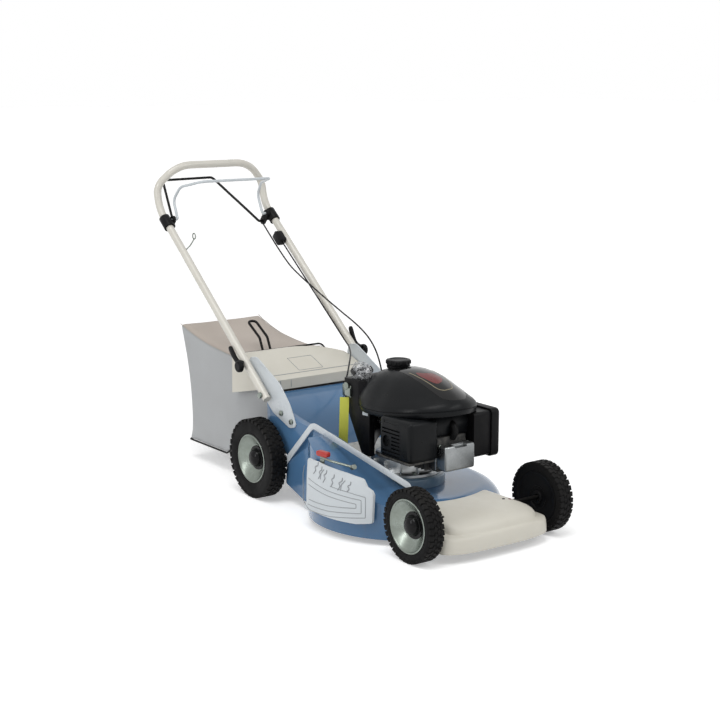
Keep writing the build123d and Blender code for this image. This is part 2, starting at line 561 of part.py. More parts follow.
front_axle_at = plus(FRONT_PIVOT, FRONT_ARM)
rear_axle_at = (gear_x, gear_z)
WHEELS = {"front_right": (front_axle_at, FRONT_TYRE_R, FRONT_TYRE_W, -1),
          "front_left": (front_axle_at, FRONT_TYRE_R, FRONT_TYRE_W, 1),
          "rear_right": (rear_axle_at, REAR_TYRE_R, REAR_TYRE_W, -1),
          "rear_left": (rear_axle_at, REAR_TYRE_R, REAR_TYRE_W, 1)}
for place, (at, tyre_r, width, side) in WHEELS.items():
    spin = Pos(at[0], side * (TYRE_FACE_Y - width / 2), at[1]) * Rot(-90 * side, 0, 0)
    for piece, solid in wheel(tyre_r, width, AXLE_R + RUN).items():
        parts[f"{piece}_{place}"] = spin * solid

# ---------------------------------------------------------------- axles and height adjustment
STUB_END_Y = TYRE_FACE_Y - 20
fx, fz = front_axle_at
front = rod_y(AXLE_R, -LINK_Y + 1, COWL_BODY_HALF + 4, *FRONT_PIVOT)
for s in (-1, 1):
    y_in, y_out = sorted((s * FRONT_ARM_Y, s * (FRONT_ARM_Y + ARM_T)))
    front += arm(FRONT_PIVOT, front_axle_at, ARM_W, y_in, y_out)
    front += rod_y(AXLE_R, s * FRONT_ARM_Y, s * STUB_END_Y, fx, fz)
    front += rod_y(9, s * (STUB_END_Y - 1.5), s * (STUB_END_Y + 4), fx, fz)
front_pin = plus(FRONT_PIVOT, FRONT_LINK_ARM)
front += arm(FRONT_PIVOT, front_pin, ARM_W, -LINK_Y + 1, -LINK_Y + 1 + ARM_T - 1)
front += rod_y(4, -LINK_Y + 1, -LINK_Y - LINK_T - 2, *front_pin)
parts["front_axle"] = front

# The cross shaft is cranked forward round the gearbox and its pulley.
crank_y0, crank_y1 = GEARBOX_Y - 52, GEARBOX_Y + 52
crank_at = plus(REAR_PIVOT, (47, 0))
rear = rod_y(AXLE_R, -REAR_ARM_Y - ARM_T, crank_y0, *REAR_PIVOT) + rod_y(AXLE_R, crank_y1, REAR_ARM_Y + ARM_T, *REAR_PIVOT)
rear += rod_y(AXLE_R, crank_y0, crank_y1, *crank_at)
for y in (crank_y0, crank_y1):
    rear += arm(REAR_PIVOT, crank_at, 13, y - 3, y + 3)
for s in (-1, 1):
    y_in, y_out = sorted((s * REAR_ARM_Y, s * (REAR_ARM_Y + ARM_T)))
    rear += arm(REAR_PIVOT, rear_axle_at, 24, y_in, y_out)
    rear -= rod_y(AXLE_R + RUN, y_in - 1, y_out + 1, *rear_axle_at)
rear_pin = plus(REAR_PIVOT, REAR_LINK_ARM)
rear += arm(REAR_PIVOT, rear_pin, ARM_W, -REAR_ARM_Y - ARM_T, -REAR_ARM_Y)
rear += rod_y(4, -REAR_ARM_Y - 1, -LINK_Y - LINK_T - 1, *rear_pin)
parts["rear_axle"] = rear
drive = rod_y(AXLE_R, -STUB_END_Y, STUB_END_Y, *rear_axle_at)
for s in (-1, 1):
    drive += rod_y(9, s * (STUB_END_Y - 1.5), s * (STUB_END_Y + 4), *rear_axle_at)
parts["drive_shaft"] = drive

link_y0, link_y1 = -LINK_Y - LINK_T, -LINK_Y
link = arm(rear_pin, LINK_BEND, LINK_W, link_y0, link_y1) + arm(LINK_BEND, LINK_DROP, LINK_W, link_y0, link_y1)
link += arm(LINK_DROP, front_pin, LINK_W, link_y0, link_y1)
link += arm(rear_pin, plus(rear_pin, (1, 1)), 20, link_y0, link_y1)
link += arm(front_pin, plus(front_pin, (0, 12)), 25, link_y0, link_y1)
link -= rod_y(4 + RUN, -230, -170, *rear_pin)
link -= arm(plus(front_pin, (0, -1)), plus(front_pin, (0, 12.5)), 13, -230, -170)
parts["height_link"] = link

LEVER_TURN = 8.0  # the lever's plane is square to the blade axis at this angle from -Y


def at_lever(solid):
    return Pos(LEVER_PIVOT[0], -DECK_R, LEVER_PIVOT[1]) * Rot(0, 0, LEVER_TURN) * solid


tip = (LEVER_TIP[0] - LEVER_PIVOT[0], LEVER_TIP[1] - LEVER_PIVOT[1])
parts["height_lever"] = at_lever(arm((0, 0), tip, 16, -10.3, -7.5) + rod_y(5, -7.5, -0.5, 0, 0))
knob = rounded_block(tip[0] - 24, tip[0] + 20, -13, 2, tip[1] - 2, tip[1] + 13, 6, Axis.Y)
parts["lever_knob"] = at_lever(knob - arm((0, 0), tip, 16 + 2 * SNUG, -10.3 - SNUG, -7.5 + SNUG))

# ---------------------------------------------------------------- handle
slope = tan(radians(HANDLE_SLOPE))
low_end = (HANDLE_PIVOT[0] + 15, HANDLE_PIVOT[1] - 15 * slope)
bend_x = -1394.0
bend = (bend_x, HANDLE_PIVOT[1] + (HANDLE_PIVOT[0] - bend_x) * slope)
corner_low = (-1410.0, 206.0, 906.0)
corner_top = (-1388.0, GRIP_HALF, GRIP_TOP_Z)
half = [(low_end[0], HANDLE_Y, low_end[1]), (bend[0], HANDLE_Y, bend[1]), corner_low, corner_top]
loop = half + [(x, -y, z) for x, y, z in reversed(half)]
handle_radii = [110, 42, 42, 42, 42, 110]
handle = tube(loop, handle_radii, HANDLE_R, HANDLE_R - HANDLE_WALL)
handle -= rod_y(4 + RUN, -240, 240, *HANDLE_PIVOT)
handle -= rod_y(4 + SNUG, -240, 240, *CLAMP)
parts["handle_tube"] = handle

cam = rod_y(4, -HANDLE_Y - HANDLE_R - SEAT, plate_y0 - SEAT + 2.6, *CLAMP)
cam += rod_y(14, -HANDLE_Y - HANDLE_R - SEAT - 13, -HANDLE_Y - HANDLE_R - SEAT, *CLAMP)
cam_tip = plus(CLAMP, (-52, 38))
cam += arm(CLAMP, cam_tip, 15, -HANDLE_Y - HANDLE_R - SEAT - 12, -HANDLE_Y - HANDLE_R - SEAT - 2)
parts["cam_lever_right"] = cam
parts["cam_lever_left"] = mirror(cam, Plane.XZ)

bails = []
for s in (-1, 1):
    on_tube = Pos(DRIVE_BAIL_PIVOT[0], s * HANDLE_Y, HANDLE_PIVOT[1] + (HANDLE_PIVOT[0] - DRIVE_BAIL_PIVOT[0]) * slope)
    clamp = on_tube * Rot(0, -90 + HANDLE_SLOPE, 0) * (Cylinder(18, 46) - Cylinder(HANDLE_R + SNUG, 50))
    y_in, y_out = sorted((s * 178.5, s * 188))
    lug = arm(DRIVE_BAIL_PIVOT, BRAKE_BAIL_PIVOT, 24, y_in, y_out)
    lug -= rod_y(DRIVE_BAIL_R + RUN, y_in - 1, y_out + 1, *DRIVE_BAIL_PIVOT)
    lug -= rod_y(BRAKE_BAIL_R + RUN, y_in - 1, y_out + 1, *BRAKE_BAIL_PIVOT)
    foot_in, foot_out = sorted((s * 187, s * 194))
    foot = rounded_block(-1372, -1336, foot_in, foot_out, 776, 800, 6, Axis.Y)
    bore = on_tube * Rot(0, -90 + HANDLE_SLOPE, 0) * Cylinder(HANDLE_R + SNUG, 90)
    foot -= rod_y(DRIVE_BAIL_R + 1, foot_in - 1, foot_out + 1, *DRIVE_BAIL_PIVOT)
    foot -= rod_y(BRAKE_BAIL_R + 1, foot_in - 1, foot_out + 1, *BRAKE_BAIL_PIVOT)
    bails.append(clamp + lug + foot - bore)
parts["bail_brackets"] = Compound(bails)


def bail(pivot, points, r, radii):
    px, pz = pivot
    run = [(px, 187.5, pz), (px, BAIL_LEG_Y, pz)] + points
    return tube(run + [(x, -y, z) for x, y, z in reversed(run)], radii + radii[::-1], r)


parts["drive_bail"] = bail(DRIVE_BAIL_PIVOT, [(-1372, 165, 862), (-1338, 157, 906), (-1240, 132, 928)], DRIVE_BAIL_R,
                           [6, 30, 40, 24])
parts["brake_bail"] = bail(BRAKE_BAIL_PIVOT, [(-1400, 150, 800), (-1545, 87, 915)], BRAKE_BAIL_R, [6, 20, 14])

box = Pos(-1262, 180.6, 722) * Rot(0, HANDLE_SLOPE, 0) * rounded_block(-22, 22, -12.6, 12.6, -15, 15, 5, Axis.Y)
parts["cable_box"] = box
stem = tube([(-1246, -194, 709.6), (-1238, -182, 724), (-1226, -174, 746)], 14, 2.0)
eye = Pos(-1226, -174, 755) * Rot(90, 0, 30) * Torus(9, 2)
parts["rope_guide"] = (stem + eye) - (Pos(-1246, -HANDLE_Y, 709.6) * Rot(0, -90 + HANDLE_SLOPE, 0)
                                      * Cylinder(HANDLE_R + SNUG, 80))

DRIVE_CABLE = [(-1362, 175.7, 768), (-1212, 168, 652), (-1122, 172, 606), (-1037, 170, 575), (-960, 160, 553),
               (-882, 143, 538), (-804, 122, 526), (-726, 101, 515), (-652, 80, 502), (-588, 62, 484), (-540, 50, 456),
               (-513, 46, 416), (-507, 52, 366), (-518, 64, 318), (-548, 80, 282), (-594, 97, 262),
               (-640, 110, 240)]
BRAKE_CABLE = [(-1244.8, 182, 707.8), (-930, 190.6, 447), (-868, 172, 424), (-806, 140, 422), (-744, 100, 424),
               (-682, 58, 426), (-622, 12, 424), (-566, -34, 414), (-522, -72, 396), (-496, -104, 372)]
parts["drive_cable"] = cord("drive_cable", DRIVE_CABLE, CABLE_R)
parts["brake_cable"] = cord("brake_cable", BRAKE_CABLE, CABLE_R)

# ---------------------------------------------------------------- flap and grass bag
FLAP_SIDE = [(-776, 319), (-776, 350), (-800, 359), (-935, 413), (-985, 404), (-988, 280), (-828, 316)]
flap = side_shape(FLAP_SIDE, -FLAP_HALF, FLAP_HALF)
flap -= side_shape([(-779, 300), (-779, 347), (-801, 355.5), (-935, 409.5), (-1000, 397), (-1000, 260), (-800, 260)],
                   -FLAP_HALF + FLAP_T, FLAP_HALF - FLAP_T)
flap -= rod_y(3 + RUN, -200, 200, *FLAP_HINGE)
parts["discharge_flap"] = flap

BAG_SIDE = [(-803, 298), (-900, 350), (-990, 392), (-1365, 442), (-1320, 300), (-1300, 66), (-1062, 66), (-905, 172),
            (-803, 172)]
BAG_INSIDE = [(-800, 294.5), (-899, 346.5), (-990, 388.5), (-1360, 438), (-1316.5, 300), (-1297, 69), (-1063, 69),
              (-906, 175), (-800, 175)]
bag = side_shape(BAG_SIDE, -BAG_HALF, BAG_HALF)
bag -= side_shape(BAG_INSIDE, -BAG_HALF + BAG_WALL, BAG_HALF - BAG_WALL)
parts["bag_fabric"] = bag

wy = BAG_HALF + WIRE_R + SEAT
mouth_x = -803 + WIRE_R + SEAT
frame = tube([(mouth_x, 0, 168), (mouth_x, wy, 168), (-905, wy, 166), (-1062, wy, 62.6), (-1303.6, wy, 62.6),
              (-1303.6, -wy, 62.6), (-1062, -wy, 62.6), (-905, -wy, 166), (mouth_x, -wy, 168), (mouth_x, -1, 168)],
             [12, 20, 20, 12, 12, 20, 20, 12], WIRE_R)
frame += tube([(mouth_x, wy, 168), (mouth_x, wy, 297), (-993.6, wy, 400), (-993.6, -wy, 400), (mouth_x, -wy, 297),
               (mouth_x, -wy, 168)], [12, 12, 12, 12], WIRE_R)
frame += rod_y(WIRE_R, -wy, wy, mouth_x, 292)
frame += tube([(-993.6, -62, 400), (-1010, -62, 440), (-1079, -62, 484), (-1079, -37, 484), (-1010, -37, 440),
               (-993.6, -37, 400)], [20, 6, 6, 20], WIRE_R - 0.5)
parts["bag_frame"] = frame

# ---------------------------------------------------------------- placing and writing
whole = Compound([solid for part in parts.values() for solid in part.solids()]).bounding_box()
MIDDLE = ((whole.min.X + whole.max.X) / 2, (whole.min.Y + whole.max.Y) / 2, whole.min.Z)
SHIFT = Pos(-MIDDLE[0], -MIDDLE[1], -MIDDLE[2])

os.makedirs("parts", exist_ok=True)
for name, solid in parts.items():
    parts[name] = SHIFT * solid
    export_step(parts[name], f"parts/{name}.step")
print("nodes", len(parts), "size", whole.size, "middle", MIDDLE)
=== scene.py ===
import json
import math

import bmesh
import bpy
from mathutils import Matrix, Vector, noise


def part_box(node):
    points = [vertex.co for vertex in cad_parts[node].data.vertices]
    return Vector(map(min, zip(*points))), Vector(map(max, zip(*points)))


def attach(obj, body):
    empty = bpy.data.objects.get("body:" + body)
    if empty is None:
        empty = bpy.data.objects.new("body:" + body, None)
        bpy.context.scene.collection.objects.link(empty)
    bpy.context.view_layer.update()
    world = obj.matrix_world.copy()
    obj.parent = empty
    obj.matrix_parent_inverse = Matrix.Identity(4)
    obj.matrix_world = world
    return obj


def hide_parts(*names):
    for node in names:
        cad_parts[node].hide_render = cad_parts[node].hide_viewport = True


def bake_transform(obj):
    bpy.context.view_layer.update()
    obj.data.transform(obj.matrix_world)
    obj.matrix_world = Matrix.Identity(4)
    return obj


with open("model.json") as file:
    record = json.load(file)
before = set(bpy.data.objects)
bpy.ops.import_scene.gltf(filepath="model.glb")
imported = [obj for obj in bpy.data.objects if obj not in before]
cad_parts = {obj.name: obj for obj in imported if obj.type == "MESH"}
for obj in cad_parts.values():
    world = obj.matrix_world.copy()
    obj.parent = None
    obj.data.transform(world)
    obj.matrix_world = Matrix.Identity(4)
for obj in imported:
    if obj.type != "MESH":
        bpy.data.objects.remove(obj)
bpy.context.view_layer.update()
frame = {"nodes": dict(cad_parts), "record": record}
body_of_node = {node: body for body, nodes in frame["record"]["behaviour"]["bodies"].items()
                for node in nodes}

# ------------------------------------------------------------------ where things are
FRONT_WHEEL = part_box("tyre_front_right")
AXLE_X = (FRONT_WHEEL[0][0] + FRONT_WHEEL[1][0]) / 2
MID_Y = (FRONT_WHEEL[0][1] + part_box("tyre_front_left")[1][1]) / 2
GROUND = FRONT_WHEEL[0][2]
MIRRORED = Matrix.Translation((0, 2 * MID_Y, 0)) @ Matrix.Scale(-1, 4, (0, 1, 0))
BLADE_X = -335  # the upright axis of engine and blade
TYRE_FACE = 257  # a tyre's outer face, from the middle
HANDLE_SLOPE = 39.4


def at(x, y, z):
    """A place in millimetres: forward of the front axle, left of the middle, above the floor."""
    return Vector((AXLE_X + x / 1000, MID_Y + y / 1000, GROUND + (z + 2) / 1000))


def spot(x, y, z, angle=0, axis="X"):
    """A place in millimetres with a turn in degrees there."""
    return Matrix.Translation(at(x, y, z)) @ Matrix.Rotation(math.radians(angle), 4, axis)


# ------------------------------------------------------------------ small helpers
def clear_selection():
    if bpy.context.object and bpy.context.object.mode != "OBJECT":
        bpy.ops.object.mode_set(mode="OBJECT")
    bpy.ops.object.select_all(action="DESELECT")


def only(piece):
    clear_selection()
    piece.select_set(True)
    bpy.context.view_layer.objects.active = piece
    return piece


def just_added(name):
    piece = bpy.context.active_object
    piece.name = piece.data.name = name
    return piece


def linked(name, data):
    piece = bpy.data.objects.new(name, data)
    bpy.context.scene.collection.objects.link(piece)
    return piece


def twin(piece, name, matrix=Matrix.Identity(4)):
    """A second one, with its own mesh, moved by a matrix."""
    other = piece.copy()
    other.data = piece.data.copy()
    other.name = name
    bpy.context.scene.collection.objects.link(other)
    other.data.transform(matrix)
    if matrix.determinant() < 0:
        other.data.flip_normals()
    return other


def settle(piece):
    """Puts a piece's place into its mesh, so that its object sits at the origin."""
    only(piece)
    bpy.ops.object.transform_apply(location=True, rotation=True, scale=True)
    return piece


def apply_all(piece):
    only(piece)
    for modifier in list(piece.modifiers):
        bpy.ops.object.modifier_apply(modifier=modifier.name)
    return piece


def thicken(piece, thickness):
    wall = piece.modifiers.new("wall", "SOLIDIFY")
    wall.thickness = thickness
    wall.offset = -1
    return apply_all(piece)


def smooth(piece, angle=35):
    only(piece)
    bpy.ops.object.shade_smooth_by_angle(angle=math.radians(angle))
    return piece


def soft_edges(piece, width, segments=2, angle=32):
    bevel = piece.modifiers.new("soft edges", "BEVEL")
    bevel.width = width
    bevel.segments = max(segments, 3 if width > 0.003 else segments)
    bevel.limit_method = "ANGLE"
    bevel.angle_limit = math.radians(angle)
    bevel.harden_normals = False
    return smooth(apply_all(piece))


def editing(piece, kind="VERT"):
    only(piece)
    bpy.ops.object.mode_set(mode="EDIT")
    bpy.ops.mesh.select_mode(type=kind)
    bpy.ops.mesh.select_all(action="SELECT")


def done_editing(piece, merge=0.000005):
    bpy.ops.mesh.select_all(action="SELECT")
    bpy.ops.mesh.remove_doubles(threshold=merge)
    bpy.ops.mesh.normals_make_consistent(inside=False)
    bpy.ops.object.mode_set(mode="OBJECT")
    return piece


def outward(piece):
    editing(piece)
    return done_editing(piece, 0.00001)


def join(pieces, name):
    clear_selection()
    for piece in pieces:
        piece.select_set(True)
    bpy.context.view_layer.objects.active = pieces[0]
    bpy.ops.object.join()
    return just_added(name)


def cut(piece, tool, operation="DIFFERENCE"):
    boolean = piece.modifiers.new("cut", "BOOLEAN")
    boolean.operation = operation
    boolean.solver = "EXACT"
    boolean.object = tool
    apply_all(piece)
    bpy.data.objects.remove(tool, do_unlink=True)
    return piece


def fit_out(piece, material, body="chassis"):
    """The last step for a new piece: its finish, slot and body."""
    piece.data.materials.clear()
    piece.data.materials.append(material)
    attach(piece, body)
    return piece


def stand_in(piece, material, node):
    """The last step for a piece that takes a node's place, on its body and in its slot."""
    fit_out(piece, material, body_of_node[node])
    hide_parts(node)
    return piece


def refined(node, material, edge=0.0, angle=30):
    """A CAD node's own form with merged, eased and smoothed edges."""
    piece = twin(frame["nodes"][node], node + "_finished")
    piece.parent = None
    piece.matrix_world = Matrix.Identity(4)
    editing(piece)
    bpy.ops.mesh.remove_doubles(threshold=0.00002)
    bpy.ops.mesh.dissolve_limited(angle_limit=math.radians(0.6))
    bpy.ops.object.mode_set(mode="OBJECT")
    if piece.data.has_custom_normals:
        bpy.ops.mesh.customdata_custom_splitnormals_clear()
    if edge:
        soft_edges(piece, edge, 2, 40)
    return stand_in(smooth(piece, angle), material, node)


# ------------------------------------------------------------------ camera
def make_camera():
    bpy.ops.object.camera_add(location=(3.6988, -2.5947, 1.3002))
    camera = bpy.context.active_object
    ahead = Vector((-0.7897, 0.5821, -0.1937)).normalized()
    camera.rotation_euler = ahead.to_track_quat("-Z", "Y").to_euler()
    camera.data.lens = 74.6
    camera.data.sensor_width = 36
    camera.data.clip_end = 60
    bpy.context.scene.camera = camera


make_camera()


# ------------------------------------------------------------------ shader nodes
def linear(r, g, b):
    """A colour as read off a swatch, 0 to 255, to scene values."""
    def one(c):
        c /= 255
        return c / 12.92 if c <= 0.04045 else ((c + 0.055) / 1.055) ** 2.4
    return (one(r), one(g), one(b), 1.0)


class Nodes:
    """Short ways to add and join the nodes of one tree."""

    def __init__(self, tree):
        self.tree = tree

    def node(self, kind, **settings):
        node = self.tree.nodes.new("ShaderNode" + kind)
        for key, value in settings.items():
            setattr(node, key, value)
        return node

    def feed(self, socket, value):
        if isinstance(value, (int, float)):
            socket.default_value = value
        elif isinstance(value, tuple):
            socket.default_value = linear(*value)
        else:
            self.tree.links.new(value, socket)

    def sums(self, operation, *values, clamp=False):
        node = self.node("Math", operation=operation, use_clamp=clamp)
        for socket, value in zip(node.inputs, values):
            self.feed(socket, value)
        return node.outputs[0]

    def ramp(self, value, low, high, to_low=0.0, to_high=1.0):
        node = self.node("MapRange")
        for key, number in (("Value", value), ("From Min", low), ("From Max", high), ("To Min", to_low),
                            ("To Max", to_high)):
            self.feed(node.inputs[key], number)
        return node.outputs["Result"]

    def pattern(self, kind, scale, **settings):
        """A noise or cell texture on the piece's own coordinates."""
        node = self.node(kind)
        self.feed(node.inputs["Vector"], self.node("TexCoord").outputs["Object"])
        self.feed(node.inputs["Scale"], scale)
        for key, value in settings.items():
            self.feed(node.inputs[key], value)
        return node

    def split(self, vector):
        node = self.node("SeparateXYZ")
        self.feed(node.inputs[0], vector)
        return node.outputs


class Effect(Nodes):
    """A shader node group with one named input and named outputs."""

    def __init__(self, name, takes, value, *gives):
        super().__init__(bpy.data.node_groups.new(name, "ShaderNodeTree"))
        socket = self.tree.interface.new_socket(name=takes, in_out="INPUT", socket_type="NodeSocketFloat")
        socket.default_value = value
        for output in gives:
            self.tree.interface.new_socket(name=output, in_out="OUTPUT", socket_type="NodeSocketFloat")
        self.taken = self.tree.nodes.new("NodeGroupInput").outputs[takes]
        self.given = self.tree.nodes.new("NodeGroupOutput").inputs


def build_effects():
    # Two close tones drifting into each other.
    drift = Effect("tone drift", "Scale", 6.0, "Mask")
    cloud = drift.pattern("TexNoise", drift.taken, Detail=4.0)
    drift.feed(drift.given["Mask"], drift.ramp(cloud.outputs["Fac"], 0.3, 0.7))

    # Fine moulded or sprayed grain, as a height.
    grain = Effect("fine grain", "Scale", 900.0, "Height")
    grain.feed(grain.given["Height"], grain.pattern("TexNoise", grain.taken, Detail=2.0).outputs["Fac"])

    # Where raised edges rub: a broken line along them.
    wear = Effect("edge wear", "Reach", 0.52, "Mask")
    above = wear.sums("SUBTRACT", wear.node("NewGeometry").outputs["Pointiness"], wear.taken)
    sharp = wear.sums("MULTIPLY", above, 16.0, clamp=True)
    broken = wear.ramp(wear.pattern("TexNoise", 60.0, Detail=5.0).outputs["Fac"], 0.42, 0.62)
    wear.feed(wear.given["Mask"], wear.sums("MULTIPLY", sharp, broken, clamp=True))

    # Pale dust that settles on what faces up and low down, in patches.
    dust = Effect("settled dust", "Top", 0.35, "Mask")
    facing = dust.ramp(dust.split(dust.node("NewGeometry").outputs["Normal"])["Z"], 0.2, 1.0)
    low = dust.ramp(dust.split(dust.node("TexCoord").outputs["Object"])["Z"], 0.02, 0.4, 1.0, 0.3)
    cloud = dust.pattern("TexNoise", 9.0, Detail=6.0, Roughness=0.62)
    settled = dust.sums("MULTIPLY", dust.sums("MULTIPLY", facing, low),
                        dust.ramp(cloud.outputs["Fac"], 0.35, 0.75))
    dust.feed(dust.given["Mask"], dust.sums("MULTIPLY", settled, dust.taken, clamp=True))

    # A plain weave over the cloth's own map: height, and the gaps between threads darkened as painted shade.
    weave = Effect("plain weave", "Threads", 400.0, "Height", "Gap shade")
    spread = weave.node("VectorMath", operation="SCALE")
    weave.feed(spread.inputs[0], weave.node("UVMap").outputs["UV"])
    weave.feed(spread.inputs["Scale"], weave.taken)
    x, y = weave.split(spread.outputs[0])[:2]
    warp, weft = (weave.sums("ABSOLUTE", weave.sums("SINE", q)) for q in (x, y))
    over = weave.sums("SINE", weave.sums("ADD", x, y))
    crossed = weave.sums("MULTIPLY", warp, weft)
    weave.feed(weave.given["Height"], weave.sums("ADD", crossed, weave.sums("MULTIPLY", over, 0.25)))
    weave.feed(weave.given["Gap shade"], weave.ramp(crossed, 0.0, 0.35, 1.0, 0.0))

    # The frosty flakes of zinc plating and cast skins.
    spangle = Effect("plated spangle", "Scale", 120.0, "Mask")
    flakes = spangle.node("SeparateColor")
    spangle.feed(flakes.inputs[0], spangle.pattern("TexVoronoi", spangle.taken).outputs["Color"])
    spangle.feed(spangle.given["Mask"], flakes.outputs[0])
    return [effect.tree for effect in (drift, grain, wear, dust, weave, spangle)]


MOTTLE, GRAIN, WEAR, DUST, WEAVE, SPANGLE = build_effects()


# ------------------------------------------------------------------ finishes
class Finish(Nodes):
    """A material whose colour, gloss and grain come from the shared effects."""

    def __init__(self, name, roughness=0.5, metallic=0.0, coat=0.0, shine=0.5):
        self.material = bpy.data.materials.new(name)
        self.material.use_nodes = True
        super().__init__(self.material.node_tree)
        self.sockets = next(n for n in self.tree.nodes if n.type == "BSDF_PRINCIPLED").inputs
        for key, value in (("Metallic", metallic), ("Roughness", roughness), ("Coat Weight", coat),
                           ("Coat Roughness", 0.1), ("Specular IOR Level", shine)):
            self.sockets[key].default_value = value

    def effect(self, tree, value, output=0):
        node = self.node("Group", node_tree=tree)
        node.inputs[0].default_value = value
        return node.outputs[output]

    def mixed(self, a, b, mask, share=1.0):
        """Colour b over colour a where the mask is, up to a share."""
        if share != 1.0:
            mask = self.sums("MULTIPLY", mask, share)
        mix = self.node("Mix", data_type="RGBA")
        self.feed(mix.inputs["Factor"], mask)
        self.feed(mix.inputs[6], a)
        self.feed(mix.inputs[7], b)
        return mix.outputs[2]

    def patchy(self, middle, scale, below, above):
        """Roughness that drifts about its middle value."""
        self.feed(self.sockets["Roughness"],
                  self.ramp(self.effect(MOTTLE, scale), 0, 1, middle - below, middle + above))

    def bump(self, height, strength, distance):
        node = self.node("Bump")
        for key, value in (("Strength", strength), ("Distance", distance), ("Height", height)):
            self.feed(node.inputs[key], value)
        self.feed(self.sockets["Normal"], node.outputs["Normal"])


def painted(name, tone, deep, roughness, coat, dust=0.35, wear=0.35, grain=700.0, grain_strength=0.05,
            shine=0.4):
    """Sprayed paint over steel: slight orange peel, rubbed edges and a film of dust."""
    f = Finish(name, roughness, coat=coat, shine=shine)
    tint = f.mixed(tone, deep, f.effect(MOTTLE, 7.0), 0.5)
    tint = f.mixed(tint, (120, 118, 112), f.effect(WEAR, 0.53), wear)
    f.feed(f.sockets["Base Color"], f.mixed(tint, (168, 160, 146), f.effect(DUST, dust), 0.5))
    f.patchy(roughness, 26.0, 0.06, 0.1)
    f.bump(f.effect(GRAIN, grain), grain_strength, 0.0004)
    return f.material


def moulded(name, tone, worn, roughness=0.5, grain=1400.0, grain_strength=0.16, dust=0.5, wear=0.5, coat=0.0,
            shine=0.45):
    """Moulded plastic: spark-eroded grain, paler rubbed edges and dust."""
    f = Finish(name, roughness, coat=coat, shine=shine)
    tint = f.mixed(tone, worn, f.effect(MOTTLE, 11.0), 0.25)
    tint = f.mixed(tint, worn, f.effect(WEAR, 0.525), wear)
    f.feed(f.sockets["Base Color"], f.mixed(tint, (150, 144, 134), f.effect(DUST, dust), 0.35))
    f.patchy(roughness, 34.0, 0.07, 0.1)
    f.bump(f.effect(GRAIN, grain), grain_strength, 0.0004)
    return f.material


def metal(name, tone, second, roughness=0.35, scale=120.0, bump=0.1, grain=900.0):
    """Plated or machined metal: spangle, stains and a dull film."""
    f = Finish(name, roughness, metallic=1.0)
    stain = f.effect(MOTTLE, 18.0)
    tint = f.mixed(tone, second, f.effect(SPANGLE, scale), 0.35)
    f.feed(f.sockets["Base Color"], f.mixed(tint, second, stain, 0.6))
    f.feed(f.sockets["Roughness"], f.ramp(stain, 0, 1, roughness - 0.08, roughness + 0.14))
    f.bump(f.effect(GRAIN, grain), bump, 0.0003)
    return f.material


def woven(name, tone, second, gap_shade):
    f = Finish(name, 0.88, shine=0.25)
    f.sockets["Sheen Weight"].default_value = 0.25
    f.sockets["Sheen Roughness"].default_value = 0.5
    weave = f.node("Group", node_tree=WEAVE)
    weave.inputs["Threads"].default_value = 1900.0
    tint = f.mixed(tone, second, f.effect(MOTTLE, 5.0), 0.6)
    # Painted shade: the gaps between threads are darkened towards the gap colour.
    f.feed(f.sockets["Base Color"], f.mixed(tint, gap_shade, weave.outputs["Gap shade"], 0.45))
    f.bump(weave.outputs["Height"], 0.35, 0.0006)
    return f.material


def film(name):
    """Clear wrapping: nearly nothing where it is flat, milky where it is creased."""
    f = Finish(name, 0.08, coat=0.5, shine=0.8)
    creases = f.effect(MOTTLE, 80.0)
    f.feed(f.sockets["Base Color"], f.mixed((120, 124, 130), (236, 238, 240), creases))
    f.feed(f.sockets["Alpha"], f.ramp(creases, 0.35, 1.0, 0.12, 0.72))
    f.bump(creases, 0.8, 0.003)
    return f.material


steel_blue = painted("steel blue paint", (78, 116, 154), (70, 106, 142), 0.16, 0.35, dust=0.12, wear=0.15,
                     shine=0.25)
pale_blue = painted("pale blue paint", (120, 146, 168), (108, 134, 156), 0.22, 0.3, dust=0.12, shine=0.3)
cream_plastic = moulded("cream plastic", (212, 209, 198), (200, 194, 180), 0.42, grain_strength=0.06,
                        dust=0.3, wear=0.2)
cream_paint = painted("cream paint", (212, 209, 200), (202, 198, 188), 0.3, 0.35, dust=0.2, wear=0.3)
cool_plastic = moulded("cool white plastic", (206, 212, 216), (190, 196, 200), 0.36, grain_strength=0.04,
                       dust=0.35, wear=0.2)
cool_paint = painted("cool white paint", (204, 210, 214), (192, 199, 204), 0.3, 0.3, dust=0.2)
zinc = metal("zinc plate", (142, 150, 144), (116, 122, 114), 0.26, 140.0)
bare_steel = metal("machined steel", (150, 150, 150), (110, 108, 104), 0.35, 200.0)
cast_metal = metal("cast aluminium", (150, 153, 154), (126, 129, 130), 0.34, 260.0, bump=0.25, grain=420.0)
bright_casting = metal("bright casting", (196, 199, 200), (160, 163, 164), 0.3, 260.0, bump=0.25, grain=420.0)
pale_gold = metal("pale gold line", (150, 142, 120), (128, 120, 100), 0.35)
dark_casting = painted("dark casting", (34, 34, 34), (26, 26, 26), 0.6, 0.0, dust=0.4, wear=0.4, grain=420.0,
                       grain_strength=0.3)
gloss_paint = painted("black enamel", (12, 12, 13), (20, 20, 20), 0.42, 0.05, dust=0.08, shine=0.1)
engine_black = moulded("satin black cover", (14, 16, 18), (26, 27, 29), 0.33, grain=1100.0,
                       grain_strength=0.06, dust=0.04, wear=0.25, shine=0.13)
black_plastic = moulded("black plastic", (11, 11, 13), (28, 28, 29), 0.4, dust=0.05, shine=0.11)
gloss_black = moulded("gloss black plastic", (7, 7, 8), (16, 16, 17), 0.12, grain_strength=0.02, dust=0.03,
                      wear=0.2, coat=0.3, shine=0.14)
cap_black = moulded("hub cap black", (8, 8, 10), (22, 22, 23), 0.2, grain_strength=0.01, dust=0.02, coat=0.12,
                    shine=0.1)
